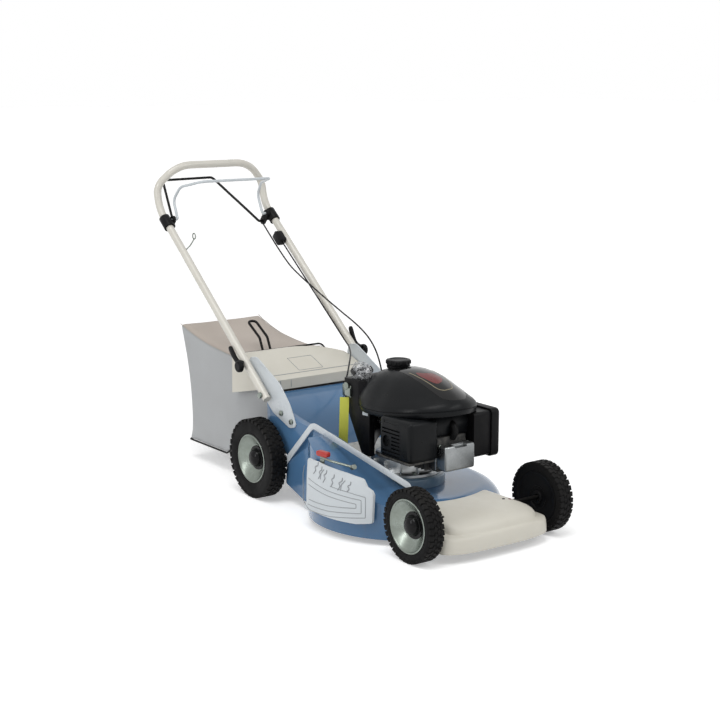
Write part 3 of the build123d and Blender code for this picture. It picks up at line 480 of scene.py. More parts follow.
tyre_rubber = moulded("tyre rubber", (13, 13, 14), (32, 31, 30), 0.6, grain=700.0, grain_strength=0.3,
                      dust=0.14, wear=0.4, shine=0.1)
soft_rubber = moulded("soft rubber", (11, 11, 12), (24, 24, 24), dust=0.06, shine=0.12)
cable_skin = moulded("cable skin", (14, 14, 16), (30, 30, 30), 0.45, grain_strength=0.05, wear=0.2, dust=0.06,
                     shine=0.15)
red_plastic = moulded("red plastic", (178, 44, 36), (150, 40, 34), 0.35, grain_strength=0.05, wear=0.2)
deep_red = moulded("deep red inlay", (108, 20, 22), (60, 12, 14), 0.3, grain_strength=0.03, wear=0.0)
# Painted shade: a grey that stands for the shadow in grooves, steps and slots on the white plastics.
panel_shade = moulded("panel shadow line", (150, 154, 158), (134, 138, 142), wear=0.0)
lime_card = moulded("lime card", (206, 208, 84), (186, 190, 70), 0.6, grain_strength=0.1, wear=0.0, dust=0.1)
bag_hem = moulded("bag hem", (188, 182, 174), (170, 164, 156), 0.8, dust=0.1)
# The third colour of each cloth is painted shade for the gaps between its threads.
bag_cloth = woven("woven bag cloth", (186, 189, 191), (168, 169, 170), (142, 141, 140))
bag_top_cloth = woven("bag top cloth", (196, 186, 176), (182, 170, 160), (150, 140, 132))
clear_film = film("clear film")


# ------------------------------------------------------------------ ways of making a piece
def turned(name, rows, sides=64, place=None, oval=None):
    """Rings of (radius, height) in millimetres, each extruded from the last and resized.

    With oval, a row is (radius along X, radius along Y, height, shift along X)."""
    rows = [row if oval else (row[0], row[0], row[1], 0) for row in rows]
    clear_selection()
    bpy.ops.mesh.primitive_circle_add(vertices=sides, radius=1, location=(0, 0, 0), fill_type="NOTHING")
    piece = just_added(name)
    editing(piece)
    last = rows[0]
    bpy.ops.transform.resize(value=(last[0] / 1000, last[1] / 1000, 1), center_override=(0, 0, 0))
    bpy.ops.transform.translate(value=(last[3] / 1000, 0, last[2] / 1000))
    for row in rows[1:]:
        bpy.ops.mesh.extrude_region_move(TRANSFORM_OT_translate={
            "value": ((row[3] - last[3]) / 1000, 0, (row[2] - last[2]) / 1000)})
        rx, ry = max(row[0], 0.0001), max(row[1], 0.0001)
        if abs(rx - last[0]) > 1e-6 or abs(ry - last[1]) > 1e-6:
            bpy.ops.transform.resize(value=(rx / last[0], ry / last[1], 1),
                                     center_override=(row[3] / 1000, 0, row[2] / 1000))
        last = (rx, ry, row[2], row[3])
    done_editing(piece)
    if place is not None:
        piece.matrix_world = place
        settle(piece)
    return piece


def close_holes(piece):
    editing(piece)
    bpy.ops.mesh.select_all(action="DESELECT")
    bpy.ops.mesh.select_non_manifold(extend=False, use_wire=False, use_multi_face=False,
                                     use_non_contiguous=False, use_verts=False)
    bpy.ops.mesh.edge_face_add()
    return done_editing(piece)


def block(name, low, high, edges=2.0, segments=3):
    """A cube primitive at its size and place, its edges rounded, all in millimetres."""
    a, b = at(*low), at(*high)
    clear_selection()
    bpy.ops.mesh.primitive_cube_add(size=1, location=(a + b) / 2)
    piece = just_added(name)
    piece.scale = [abs(q) for q in (b - a)]
    settle(piece)
    if edges:
        editing(piece, "EDGE")
        bpy.ops.mesh.bevel(offset=edges / 1000, segments=segments, affect="EDGES")
        done_editing(piece)
    return piece


def plate(name, outline, low, high, across="Y", edges=0.0, segments=2):
    """A flat outline in millimetres thickened along one axis."""
    clear_selection()
    bpy.ops.mesh.primitive_circle_add(vertices=len(outline), radius=0.1, fill_type="NGON")
    piece = just_added(name)
    order = {"X": lambda p, t: at(t, *p),
             "Y": lambda p, t: at(p[0], t, p[1]),
             "Z": lambda p, t: at(*p, t)}[across]
    for corner, place in zip(piece.data.vertices, outline):
        corner.co = order(place, low)
    editing(piece, "FACE")
    step = order(outline[0], high) - order(outline[0], low)
    bpy.ops.mesh.extrude_region_move(TRANSFORM_OT_translate={"value": step})
    done_editing(piece)
    if edges:
        soft_edges(piece, edges / 1000, segments, 25)
    return piece


def stacked(name, levels):
    """A closed outline extruded level by level, each level set to its own places, the last one filled."""
    clear_selection()
    bpy.ops.mesh.primitive_circle_add(vertices=len(levels[0]), radius=1, fill_type="NOTHING")
    piece = just_added(name)
    for corner, place in zip(piece.data.vertices, levels[0]):
        corner.co = place
    editing(piece)
    for low, high in zip(levels, levels[1:]):
        bpy.ops.mesh.extrude_region_move()
        bpy.ops.object.mode_set(mode="OBJECT")
        moves = {tuple(round(q, 6) for q in a): b for a, b in zip(low, high)}
        for corner in piece.data.vertices:
            if corner.select:
                corner.co = moves[tuple(round(q, 6) for q in corner.co)]
        bpy.ops.object.mode_set(mode="EDIT")
    bpy.ops.mesh.edge_face_add()
    return done_editing(piece, 0.00001)


def new_curve(name, kind, places, detail=12):
    """A curve object through its places, and its points."""
    curve = bpy.data.curves.new(name, "CURVE")
    curve.dimensions = "3D"
    curve.resolution_u = detail
    spline = curve.splines.new(kind)
    points = spline.bezier_points if kind == "BEZIER" else spline.points
    points.add(len(places) - 1)
    if kind != "BEZIER":
        for point, place in zip(points, places):
            point.co = (*place, 1.0)
    return linked(name, curve), spline


def as_tube(piece, radius, sides, angle):
    """Gives a curve its thickness and makes it a mesh."""
    piece.data.bevel_depth = radius
    piece.data.bevel_resolution = sides
    piece.data.use_fill_caps = True
    only(piece)
    bpy.ops.object.convert(target="MESH")
    return smooth(just_added(piece.name), angle)


def bent_rod(name, points, bends, radius, detail=8, sides=6):
    """Straight runs joined by round bends, in millimetres; one bend radius per inner corner."""
    places = [at(*p) for p in points]
    knots = [(places[0], places[0], places[0])]
    for a, b, c, r in zip(places, places[1:], places[2:], bends):
        before, after = (a - b).normalized(), (c - b).normalized()
        angle = math.pi - before.angle(after)
        reach = r / 1000 * math.tan(angle / 2)
        pull = reach * (1 - 4 / 3 * math.tan(angle / 4) / math.tan(angle / 2))
        knots.append((b + before * reach, b + before * reach, b + before * pull))
        knots.append((b + after * reach, b + after * pull, b + after * reach))
    knots.append((places[-1], places[-1], places[-1]))
    piece, spline = new_curve(name, "BEZIER", knots, detail)
    for point, (co, left, right) in zip(spline.bezier_points, knots):
        point.handle_left_type = point.handle_right_type = "FREE"
        point.co, point.handle_left, point.handle_right = co, left, right
    return as_tube(piece, radius / 1000, sides, 50)


# ------------------------------------------------------------------ cables
DRIVE_CABLE = [(-0.6395, 0.1842, 0.77), (-0.4895, 0.1765, 0.654), (-0.3995, 0.1805, 0.608),
               (-0.3145, 0.1785, 0.577), (-0.2375, 0.1685, 0.555), (-0.1595, 0.1515, 0.54),
               (-0.0815, 0.1305, 0.528), (-0.0035, 0.1095, 0.517), (0.0705, 0.0885, 0.504),
               (0.1345, 0.0705, 0.486), (0.1825, 0.0585, 0.458), (0.2095, 0.0545, 0.418),
               (0.2155, 0.0605, 0.368), (0.2045, 0.0725, 0.32), (0.1745, 0.0885, 0.284),
               (0.1285, 0.1055, 0.264), (0.0825, 0.1185, 0.242)]
BRAKE_CABLE = [(-0.5223, 0.1905, 0.7098), (-0.2075, 0.1991, 0.449), (-0.1455, 0.1805, 0.426),
               (-0.0835, 0.1485, 0.424), (-0.0215, 0.1085, 0.426), (0.0405, 0.0665, 0.428),
               (0.1005, 0.0205, 0.426), (0.1565, -0.0255, 0.416), (0.2005, -0.0635, 0.398),
               (0.2265, -0.0955, 0.374)]
CABLE_THICKNESS = 0.005

for name, points, node, length in (("drive_cable_run", DRIVE_CABLE, "drive_cable", 1.19),
                                   ("brake_cable_run", BRAKE_CABLE, "brake_cable", 0.94)):
    piece, spline = new_curve(name, "NURBS", points)
    spline.order_u = 3
    spline.use_endpoint_u = True
    path = [tuple(v.co) for v in bpy.data.meshes.new_from_object(piece).vertices]
    piece = as_tube(piece, CABLE_THICKNESS / 2, 4, 60)
    piece.data.materials.append(cable_skin)
    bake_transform(piece)
    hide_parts(node)


# ------------------------------------------------------------------ wheels
LUGS = 36  # tread blocks in each of the four rows


def make_wheels():
    """A tyre with four rows of tread blocks, a pressed rim and a hub cap, once for each size."""
    for size, radius, width, axle in (("front", 100, 49, 0), ("rear", 121, 53, -770)):
        h = width / 2  # the profiles below are heights above and below the wheel's middle
        tyre = turned("tyre_" + size, [
            (75.2, -h + 5), (79, -h + 1.5), (84, -h + 0.8), (radius - 14, -h + 0.8), (radius - 6, -h + 1.8),
            (radius - 2.4, -h + 4.5), (radius - 1, -h + 8), (radius - 0.6, 0), (radius - 1, h - 8),
            (radius - 2.4, h - 4.5), (radius - 6, h - 1.8), (radius - 14, h - 0.8), (84, h - 0.8),
            (82, h - 1.6), (80, h - 0.8), (77.5, h - 1.4), (75.2, h - 4), (75.2, -h + 5)], 96)
        smooth(tyre, 40)
        blocks = []
        pitch = 2 * math.pi * radius / LUGS
        for middle, wide, long, skew, shift, deep in (
                (-h + 7.2, 13.0, 0.76, 0.14, 0.0, 8.0), (h - 7.2, 13.0, 0.76, -0.14, 0.5, 8.0),
                (-5.4, 10.0, 0.7, 0.42, 0.3, 5.0), (5.4, 10.0, 0.7, -0.42, 0.8, 5.0)):
            clear_selection()
            bpy.ops.mesh.primitive_cube_add(size=1)
            lug = just_added("lug")
            lug.scale = (deep / 1000, pitch * long / 1000, wide / 1000)
            settle(lug)
            editing(lug, "FACE")
            bpy.ops.mesh.select_all(action="DESELECT")
            bpy.ops.object.mode_set(mode="OBJECT")
            for face in lug.data.polygons:
                face.select = face.normal.x > 0.9
            bpy.ops.object.mode_set(mode="EDIT")
            bpy.ops.mesh.inset(thickness=0.0012, depth=0.0008)
            bpy.ops.object.mode_set(mode="OBJECT")
            lug.data.transform(Matrix.Rotation(skew, 4, "X"))
            lug.data.transform(Matrix.Translation(((radius + 0.7 - deep / 2) / 1000, 0, middle / 1000)))
            for n in range(LUGS):
                blocks.append(twin(lug, "lug", Matrix.Rotation((n + shift) * 2 * math.pi / LUGS, 4, "Z")))
            bpy.data.objects.remove(lug, do_unlink=True)
        treads = join([tyre] + blocks, "tyre_" + size)
        smooth(treads, 30)
        rim = outward(turned("rim_" + size, [
            (75, -h + 8), (75, h - 3), (74.4, h - 1.8), (72.6, h - 1.2), (70.6, h - 1.8), (69.4, h - 4),
            (67, h - 6.2), (56, h - 13.5), (45, h - 20.5), (38, h - 24), (32, h - 25.4), (32, h - 28),
            (40, h - 27), (50, h - 21.5), (66, h - 11), (72, h - 6), (73, -h + 8), (75, -h + 8)], 96))
        smooth(rim, 30)
        inner = outward(turned("inner_disc_" + size, [
            (74.8, -h + 4), (74.8, -h + 12), (30, -h + 12), (16, -h + 14), (9.5, -h + 14), (9.5, -h + 3),
            (17, -h + 3), (18, -h + 4), (19, -h + 8.5), (31, -h + 8), (33, -h + 6.2), (40, -h + 6.6),
            (67, -h + 5.8), (70, -h + 4), (74.8, -h + 4)], 72))
        smooth(inner, 30)
        cap = turned("hub_cap_" + size, [
            (36, h - 26.5), (37.5, h - 24), (37, h - 22.6), (33, h - 22.8), (29.5, h - 22.4), (28, h - 20.6),
            (27.4, h - 17), (25.6, h - 12.4), (22, h - 8), (17, h - 4.8), (11, h - 2.8), (5, h - 1.9),
            (0.2, h - 1.7)], 64)
        smooth(cap, 28)
        for side, place in ((-1, "right"), (1, "left")):
            name = size + "_" + place
            turn = spot(axle, side * (TYRE_FACE - h), radius, -90 * side)
            stand_in(twin(treads, "tyre_tread_" + name, turn), tyre_rubber, "tyre_" + name)
            stand_in(twin(rim, "rim_dish_" + name, turn), zinc, "rim_" + name)
            fit_out(twin(inner, "wheel_back_" + name, turn), black_plastic, "wheel_" + name)
            stand_in(twin(cap, "hub_dome_" + name, turn), cap_black, "hub_cap_" + name)
        for piece in (treads, rim, inner, cap):
            bpy.data.objects.remove(piece, do_unlink=True)


# ------------------------------------------------------------------ engine
DOME_AT = spot(-263, 0, 339, -6.5, "Y")
DOME_LONG, DOME_WIDE, RIM_TOP = 187, 141, 12
DOME_ROWS = [(180, 134, -8, -3), (184.5, 138.5, -7, -3), (186, 140, -4, -3), (187, 141, 6, -3.4),
             (185.2, 139.2, 7, -3.4), (185.2, 139.2, 8.6, -3.5), (187, 141, 9.6, -3.6),
             (186.4, 140.2, 20, -4.6), (181, 136, 34, -8.6), (168, 126, 50, -16), (152.5, 115.5, 65, -25.5),
             (134, 102, 80, -36), (114.5, 88, 92.4, -45.4), (92, 72, 102, -54), (66, 54, 109.6, -60),
             (40, 34, 113.8, -63), (18, 16, 115.2, -64), (2, 2, 115.5, -64)]


def dome_shell(name, rows, grow=1.0):
    """The cover is an oval dome with a fuller back and shoulders that fall away towards the nose."""
    shell = turned(name, rows, 96, DOME_AT, oval=True)
    back = DOME_AT.inverted()
    for corner in shell.data.vertices:
        place = back @ corner.co * 1000
        u, w = abs(place.x) / DOME_LONG, abs(place.y) / DOME_WIDE
        spread = 1
        if place.x < 0 and u + w > 0:
            fuller = math.hypot(u, w) / (u ** 2.7 + w ** 2.7) ** (1 / 2.7)
            spread += (fuller - 1) * min(-place.x / 60, 1)
        fall = min(0.5 * max(place.x, 0) / DOME_LONG + 0.85 * w, 1) ** 2.6
        fall *= min(max((place.x + DOME_LONG) / 150, 0), 1)
        z = RIM_TOP + (place.z - RIM_TOP) * (1 - 0.6 * fall) if place.z > RIM_TOP else place.z
        z += 15 * min(max(-place.x, 0) / DOME_LONG, 1) ** 1.4 * (1 - min(max((place.z - RIM_TOP) / 90, 0), 1))
        corner.co = DOME_AT @ (Vector((place.x * spread, place.y * spread, z)) * grow / 1000)
    return shell


def flowing(points, steps=6):
    """A closed outline that runs smoothly through its points."""
    result = []
    count = len(points)
    for n in range(count):
        a, b, c, d = (Vector(points[(n + k - 1) % count]) for k in range(4))
        for k in range(steps):
            t = k / steps
            result.append(tuple(0.5 * (2 * b + (c - a) * t + (2 * a - 5 * b + 4 * c - d) * t ** 2
                                       + (3 * b - a - 3 * c + d) * t ** 3)))
    return result


def dome_inlay(name, outline, grow):
    """A thin skin on the dome, the shape of an outline seen from above."""
    rows = [(180, 134, 12, -5)] + DOME_ROWS[8:]
    skin = close_holes(dome_shell(name, rows, grow))
    return smooth(cut(skin, plate("inlay_cutter", outline, 340, 520, "Z"), "INTERSECT"), 30)


def make_dome():
    """The fan cover with its gloss inlay, a gold line and a red field."""
    dome = dome_shell("top_cover", DOME_ROWS)
    smooth(thicken(dome, 0.0025), 30)
    stand_in(dome, engine_black, "fan_cover")
    panel = flowing([(-398, -34), (-350, -42), (-300, -46), (-243, -48), (-190, -47), (-150, -44),
                     (-122, -38), (-104, -20), (-98, 4), (-106, 32), (-140, 60), (-190, 72), (-250, 78),
                     (-310, 74), (-370, 60), (-398, 34)])
    inlay = dome_inlay("top_inlay", panel, 1.006)
    fit_out(inlay, gloss_black)
    outer_line = flowing([(-300, -37), (-263, -38), (-225, -36), (-185, -32), (-155, -27), (-141, -15),
                          (-139, 2), (-145, 18), (-166, 32), (-196, 42), (-230, 46), (-263, 47), (-300, 46)])
    inner_line = []
    for n, p in enumerate(outer_line):
        run = (Vector(outer_line[(n + 1) % len(outer_line)]) - Vector(outer_line[n - 1])).normalized()
        inner_line.append(tuple(Vector(p) + Vector((-run.y, run.x)) * 2.2))
    ring = dome_inlay("inlay_line", outer_line, 1.0085)
    ring = cut(ring, plate("line_cutter", inner_line, 330, 540, "Z"))
    ring = cut(ring, block("line_end", (-330, -60, 330), (-270, 60, 540), 0))
    fit_out(smooth(ring, 30), pale_gold)
    red = flowing([(-255, -24), (-238, -6), (-228, 18), (-200, 24), (-177, 5), (-174, -14), (-196, -24),
                   (-232, -29)])
    glow = dome_inlay("inlay_red", red, 1.0082)
    fit_out(glow, deep_red)


def make_guard():
    """The muffler guard with its slots, the shroud beside it and the spark-plug lead."""
    guard = block("guard_box", (-264, -150, 221), (-121, -47, 341), 15, 5)
    for n in range(1, 9):
        z = 318 - n * 10.5
        start = -206 if 2 < n < 7 else -248
        guard = cut(guard, block("slot", (start, -156, z - 2.2), (-168, -143, z + 2.2), 0))
    hole = turned("hole", [(16.5, -8), (16.5, 8)], 32, spot(-229, -150, 272, 90))
    guard = cut(guard, close_holes(hole))
    guard = cut(guard, block("top_recess", (-240, -156, 324), (-176, -148.6, 334), 0))
    smooth(guard, 30)
    stand_in(guard, engine_black, "muffler_guard")
    for n, r in enumerate((13.5, 9, 4.6)):
        rib = turned("guard_ring_%d" % n, [(r - 1, -1), (r + 1, -1), (r + 1, 1), (r - 1, 1), (r - 1, -1)], 32,
                     spot(-229, -143.4, 272, 90))
        fit_out(rib, engine_black)
    lip = plate("guard_lip", [(-262, 220), (-123, 220), (-123, 226), (-262, 226)], -151.5, -60, "Y", 1.2)
    fit_out(lip, dark_casting)

    shroud = plate("cooling_shroud", [(-250, 258), (-146, 258), (-134, 288), (-128, 318), (-140, 344),
                                      (-252, 348)], -60, 66, "Y", 5, 3)
    fit_out(shroud, engine_black)
    boot = bent_rod("plug_boot", [(-150, 8, 322), (-126, 6, 316), (-116, 6, 296), (-128, 4, 278)], [14, 14],
                    10, 8)
    stand_in(boot, soft_rubber, "spark_plug_cap")
    lead = bent_rod("plug_lead", [(-150, 8, 322), (-176, 14, 336), (-210, 30, 330)], [16], 3.2, 8)
    fit_out(lead, cable_skin)


def make_castings():
    """The notched rocker cover with its rim, and the ribbed base flange, with their bolts."""
    cover = block("rocker_cover", (-133, -50, 194), (-88, 56, 266), 7, 4)
    cover = cut(cover, block("notch", (-108, -18, 259), (-80, 26, 280), 3))
    smooth(cover, 30)
    stand_in(cover, cast_metal, "valve_cover")
    rim = block("rocker_rim", (-136, -52, 192), (-130, 58, 268), 2, 2)
    fit_out(smooth(rim, 30), cast_metal)
    for y, z in ((-46, 202), (52, 202), (-46, 262), (52, 262)):
        bolt = turned("rocker_bolt", [(5, 0), (5, 4), (3.5, 5), (0.2, 5)], 6, spot(-122, y, z, 90, "Y"))
        fit_out(bolt, zinc)

    base = turned("base_flange", [(60, 142), (104, 142), (106, 144), (106, 151), (103, 153), (93, 154.5),
                                  (90, 160), (89, 172), (86, 196), (80, 200), (60, 200), (60, 142)], 80,
                  spot(BLADE_X, 0, 0))
    fit_out(smooth(outward(base), 30), bright_casting)
    for n in range(12):
        rib = block("base_rib", (86, -2.2, 152), (99, 2.2, 186), 1.2, 2)
        rib.data.transform(spot(BLADE_X, 0, 0, 15 + 30 * n, "Z") @ Matrix.Translation(-at(0, 0, 0)))
        fit_out(smooth(rib, 30), bright_casting)
    for n in range(8):
        a = math.radians(22.5 + 45 * n)
        bolt = turned("base_bolt", [(7.5, 152), (7.5, 153.4), (5.2, 153.6), (5.2, 158), (4, 159), (0.2, 159)],
                      6, spot(BLADE_X + 98 * math.cos(a), 98 * math.sin(a), 0))
        fit_out(bolt, zinc)


GRIPS = 14  # ribs round the fuel cap


def make_fuel_cap():
    """The fuel cap with its finger grips, and the plain label beside it."""
    low, high = (Vector(corner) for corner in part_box("fuel_cap"))
    seat = Matrix.Translation(((low.x + high.x) / 2, (low.y + high.y) / 2, low.z - 0.004))
    cap = turned("filler_cap", [(20, -6), (33, -6), (34, -4), (34, 2), (31, 3.5), (31, 5), (34.5, 6.5),
                                (34.5, 15), (32.5, 18), (26, 19), (24, 17.4), (8, 17.4), (0.2, 17.4)],
                 72, seat)
    pieces = [smooth(cap, 30)]
    for n in range(GRIPS):
        place = seat @ Matrix.Rotation(2 * math.pi * n / GRIPS, 4, "Z") @ Matrix.Translation((0.0335, 0, 0))
        knob = turned("grip", [(3.2, 6), (3.6, 7), (3.6, 15), (2.6, 17), (0.2, 17)], 10, place)
        pieces.append(smooth(knob, 40))
    stand_in(join(pieces, "filler_cap"), black_plastic, "fuel_cap")

    sticker = plate("plain_label", [(-399, 308), (-373, 309), (-373, 321), (-399, 320)], -106.6, -106)
    fit_out(sticker, cool_plastic)


# ------------------------------------------------------------------ height panel and deck details
PANEL_SECTION = [(60, 302.5), (148, 302.5), (172, 301.6), (200, 300.4), (224, 299.5)]


def panel_radius(z):
    for (z0, r0), (z1, r1) in zip(PANEL_SECTION, PANEL_SECTION[1:]):
        if z <= z1:
            return r0 + (r1 - r0) * max(0, z - z0) / (z1 - z0)
    return PANEL_SECTION[-1][1]


def on_skirt(x, z, lift=0.0):
    """A place on the panel's outer face, which is turned about the blade axis."""
    radius = panel_radius(z) + lift
    return (x, -math.sqrt(max(radius ** 2 - (x - BLADE_X) ** 2, 0)), z)


def skirt_line(name, places, radius, material, step=12):
    points = []
    for (x0, z0), (x1, z1) in zip(places, places[1:]):
        count = max(1, int(math.hypot(x1 - x0, z1 - z0) / step))
        points += [on_skirt(x0 + (x1 - x0) * n / count, z0 + (z1 - z0) * n / count) for n in range(count)]
    points.append(on_skirt(*places[-1]))
    line = bent_rod(name, points, [2.5] * (len(points) - 2), radius, 2, sides=2)
    return fit_out(line, material)


def rounded(points, radii, steps=5):
    """A closed outline with each corner rounded."""
    result = []
    count = len(points)
    for n, r in enumerate(radii):
        b = Vector(points[n])
        to_a, to_c = Vector(points[n - 1]) - b, Vector(points[(n + 1) % count]) - b
        if r <= 0:
            result.append(tuple(b))
            continue
        angle = math.pi - to_a.angle(to_c)
        reach = min(r * math.tan(angle / 2), to_a.length * 0.48, to_c.length * 0.48)
        start, end = b + to_a.normalized() * reach, b + to_c.normalized() * reach
        for k in range(steps + 1):
            t = k / steps
            result.append(tuple(start * (1 - t) ** 2 + b * 2 * t * (1 - t) + end * t ** 2))
    return result


def make_panel():
    """The height index cover: a thick curved plate with soft edges and a leaning top."""
    outline = [(-412, 200), (-402, 208), (-345, 210), (-235, 200), (-186, 190), (-177, 168), (-164, 158),
               (-160, 147), (-163, 66), (-205, 59), (-285, 59), (-361, 60), (-438, 48), (-449, 53),
               (-420, 72)]
    outline = rounded(outline, [6, 10, 20, 20, 12, 5, 7, 7, 8, 20, 60, 60, 6, 5, 14])
    shell = outward(turned("panel_shell", [
        (296.8, 30), (302.5, 30), (302.5, 148), (301.6, 172), (300.4, 200), (299.5, 224), (299.3, 230),
        (296.5, 230), (296.5, 160), (296.8, 30)], 180, spot(BLADE_X, 0, 0)))
    panel = cut(shell, plate("panel_cutter", outline, -330, -200), "INTERSECT")
    panel.name = "height_index_cover"
    soft_edges(panel, 0.0016, 3, 40)
    stand_in(panel, cool_plastic, "height_panel")


def strap(name, points, bends, width, y0, y1, edges=1.0):
    """A flat bar bent in its own plane, with round ends."""
    middle = []
    for n, p in enumerate(points):
        p = Vector(p)
        if n in (0, len(points) - 1):
            middle.append(p)
            continue
        to_a, to_c = Vector(points[n - 1]) - p, Vector(points[n + 1]) - p
        reach = bends[n - 1] * math.tan((math.pi - to_a.angle(to_c)) / 2)
        start, end = p + to_a.normalized() * reach, p + to_c.normalized() * reach
        middle += [start * (1 - t) ** 2 + p * 2 * t * (1 - t) + end * t ** 2
                   for t in [k / 10 for k in range(11)]]
    left, right = [], []
    for n, p in enumerate(middle):
        run = (middle[min(n + 1, len(middle) - 1)] - middle[max(n - 1, 0)]).normalized()
        side = Vector((-run.y, run.x)) * width / 2
        left.append(p + side)
        right.append(p - side)
    outline = []
    for group, tip, back in ((left, middle[-1], middle[-2]), (right[::-1], middle[0], middle[1])):
        outline += group
        a0 = math.atan2((group[-1] - tip).y, (group[-1] - tip).x)
        outline += [tip + Vector((math.cos(a0 - q), math.sin(a0 - q))) * width / 2
                    for q in [math.pi * k / 8 for k in range(1, 8)]]
    return plate(name, [tuple(p) for p in outline], y0, y1, "Y", edges)


def make_link():
    """The flat bar from the rear axle's crank over the panel to the front one, and its two pins."""
    bar = strap("height_link_bar", [(-725, 64), (-516, 268), (-62, 188), (-51, 138)], [34, 12], 18,
                -202.2, -198.2, 0.9)
    stand_in(bar, cool_paint, "height_link")
    for n, (x, z) in enumerate(((-725, 64), (-51, 136))):
        pin = turned("link_pin_%d" % n, [(8, 0), (8, 0.8), (5, 1.2), (0.2, 1.3)], 28, spot(x, -202, z, 90))
        fit_out(smooth(pin, 30), zinc, "link")


def make_cowl():
    """The front cover: a rounded nose over a lower lip with an ear on each side."""
    profile = [(26, 103.6, 189), (30, 104, 189), (46, 103.4, 188.6), (60, 102, 187.6), (67, 100, 185),
               (70, 96.5, 180), (71, 94, 163), (73, 92.6, 157.5), (78, 91.4, 156), (86, 88.6, 154),
               (93, 83, 150), (99, 73, 144), (104, 57, 135), (108, 34, 124), (110.6, 6, 112), (112, -26, 100),
               (112.4, -60, 84)]
    levels = []
    for z, front, half in profile:
        side_x = front - 52
        straight = [-150 + (side_x + 150) * k / 5 for k in range(5)]
        path = [(x, -half) for x in straight]
        for k in range(33):
            t = -math.pi / 2 + math.pi * k / 32
            path.append((side_x + (front - side_x) * max(math.cos(t), 0) ** 0.8,
                         half * math.copysign(abs(math.sin(t)) ** 0.62, t)))
        path += [(x, half) for x in reversed(straight)]
        levels.append([at(x, y, z) for x, y in path])
    cowl = thicken(stacked("nose_cowl", levels), 0.003)
    cowl = cut(cowl, close_holes(turned("blade_housing_form", [
        (283.2, -20), (283.2, 57), (280.5, 71), (273, 84), (264, 94.4), (246, 105), (246, 150)], 128,
        spot(BLADE_X, 0, 0))))
    for side in (-1, 1):
        cowl = cut(cowl, block("behind_ear", (-170, side * 178 - 20.5, 10), (13, side * 178 + 20.5, 72.2), 0))
    stand_in(smooth(cowl, 38), cream_plastic, "front_cowl")


def make_panel_details():
    """Raised lines and wave marks on the height panel in painted shade, for the shadow in its grooves and
    steps; the spring's rod, and the cowl's two dots.
    """
    nests = ([(-290, 152), (-232, 147), (-179, 139), (-179, 80), (-290, 64), (-399, 58)],
             [(-400, 150), (-300, 137), (-190, 129), (-190, 91), (-300, 78), (-405, 72)],
             [(-400, 132), (-300, 122), (-204, 116), (-204, 104), (-300, 93), (-400, 88)],
             [(-440, 176), (-452, 150), (-452, 70), (-399, 58)])
    for n, places in enumerate(nests):
        skirt_line("panel_line_%d" % n, places, 1.1, panel_shade)
    marks = ((-344.7, 208.9, -369, 171), (-325.9, 199.9, -341.8, 162.9), (-304.6, 195, -319.5, 156.6),
             (-274.8, 188.2, -285.6, 152.8), (-246, 183.8, -261.2, 146.1), (-219.6, 177.1, -230.2, 146.8))
    for n, (x0, z0, x1, z1) in enumerate(marks):
        mx, mz = (x0 + x1) / 2, (z0 + z1) / 2
        wave = [(x0, z0), (x0 - 1, z0 - 9), (mx - 5, mz + 2), (mx + 1, mz - 6), (x1, z1)]
        skirt_line("index_mark_%d" % n, wave, 1.7, panel_shade, 6)
        if n in (1, 4):
            second = [(x0 + 9, z0 - 6), (mx + 5, mz), (x1 + 9, z1)]
            skirt_line("index_twin_%d" % n, second, 1.4, panel_shade, 6)
    rod = bent_rod("height_spring_rod", [(-345, -291, 222), (-300, -286, 219), (-234, -262, 213)], [30], 3.4)
    fit_out(rod, zinc)
    nut = turned("spring_rod_nut", [(0.3, -7), (7, -7), (8, -6), (8, 6), (7, 7), (0.3, 7)], 6,
                 spot(-232, -261, 213, 70, "Y"))
    fit_out(nut, zinc)
    for name, x, y, z, material in (("cowl_dot_grey", -16, 100, 110.6, black_plastic),
                                    ("cowl_dot_red", -10, 118, 108.6, deep_red)):
        dot = turned(name, [(4.2, -2), (4.2, 1.2), (3, 1.7), (0.2, 1.7)], 20, spot(x, y, z))
        fit_out(dot, material)


# ------------------------------------------------------------------ flap, levers, wires
def make_brackets():
    """Folded handle brackets: a tapering plate with a lip along its upper edge."""
    side_y = -188.1
    outline = [(-884, 384), (-868, 414), (-832, 420), (-704, 356), (-650, 300), (-616, 240), (-652, 230),
               (-742, 262), (-784, 296)]
    outline = rounded(outline, [14, 16, 30, 60, 90, 12, 26, 40, 40], 7)
    sheet = plate("bracket_sheet", outline, side_y - 3, side_y, edges=0.8)
    upper = rounded([(-866, 412), (-832, 418), (-704, 354.5), (-651, 299), (-620, 246)], [0, 30, 60, 90, 0],
                    7)
    lip = bent_rod("bracket_lip", [(x, side_y - 1.4, z) for x, z in upper], [2] * (len(upper) - 2), 2.3, 2,
                   sides=4)
    right = smooth(join([sheet, lip], "handle_bracket_right"), 32)
    left = twin(right, "handle_bracket_left", MIRRORED)
    stand_in(right, cool_paint, "handle_brackets")
    fit_out(left, cool_paint)


def make_flap():
    """The discharge flap; its far back corner is rounded down."""
    flap = refined("discharge_flap", cream_plastic)
    editing(flap)
    for x, y in [(0, y) for y in (20, 50, 80, 105, 130, 155, 175)] + [(-880, 0), (-910, 0)]:
        bpy.ops.mesh.select_all(action="SELECT")
        bpy.ops.mesh.bisect(plane_co=at(x, y, 0), plane_no=(1, 0, 0) if x else (0, 1, 0))
    bpy.ops.object.mode_set(mode="OBJECT")
    start, bend_x, deck_z = at(0, 20, 0).y, at(-850, 0, 0).x, at(0, 0, 300).z
    for corner in flap.data.vertices:
        if corner.co.y > start:
            across = (corner.co.y - start) / 0.165
            along = min(max((bend_x - corner.co.x) / 0.085, 0), 1)
            high = min(max((corner.co.z - deck_z) / 0.08, 0), 1)
            corner.co.z -= 0.026 * across ** 2 * along * high
            corner.co.x += 0.04 * across ** 2.4 * along
    soft_edges(flap, 0.005, 3, 34)


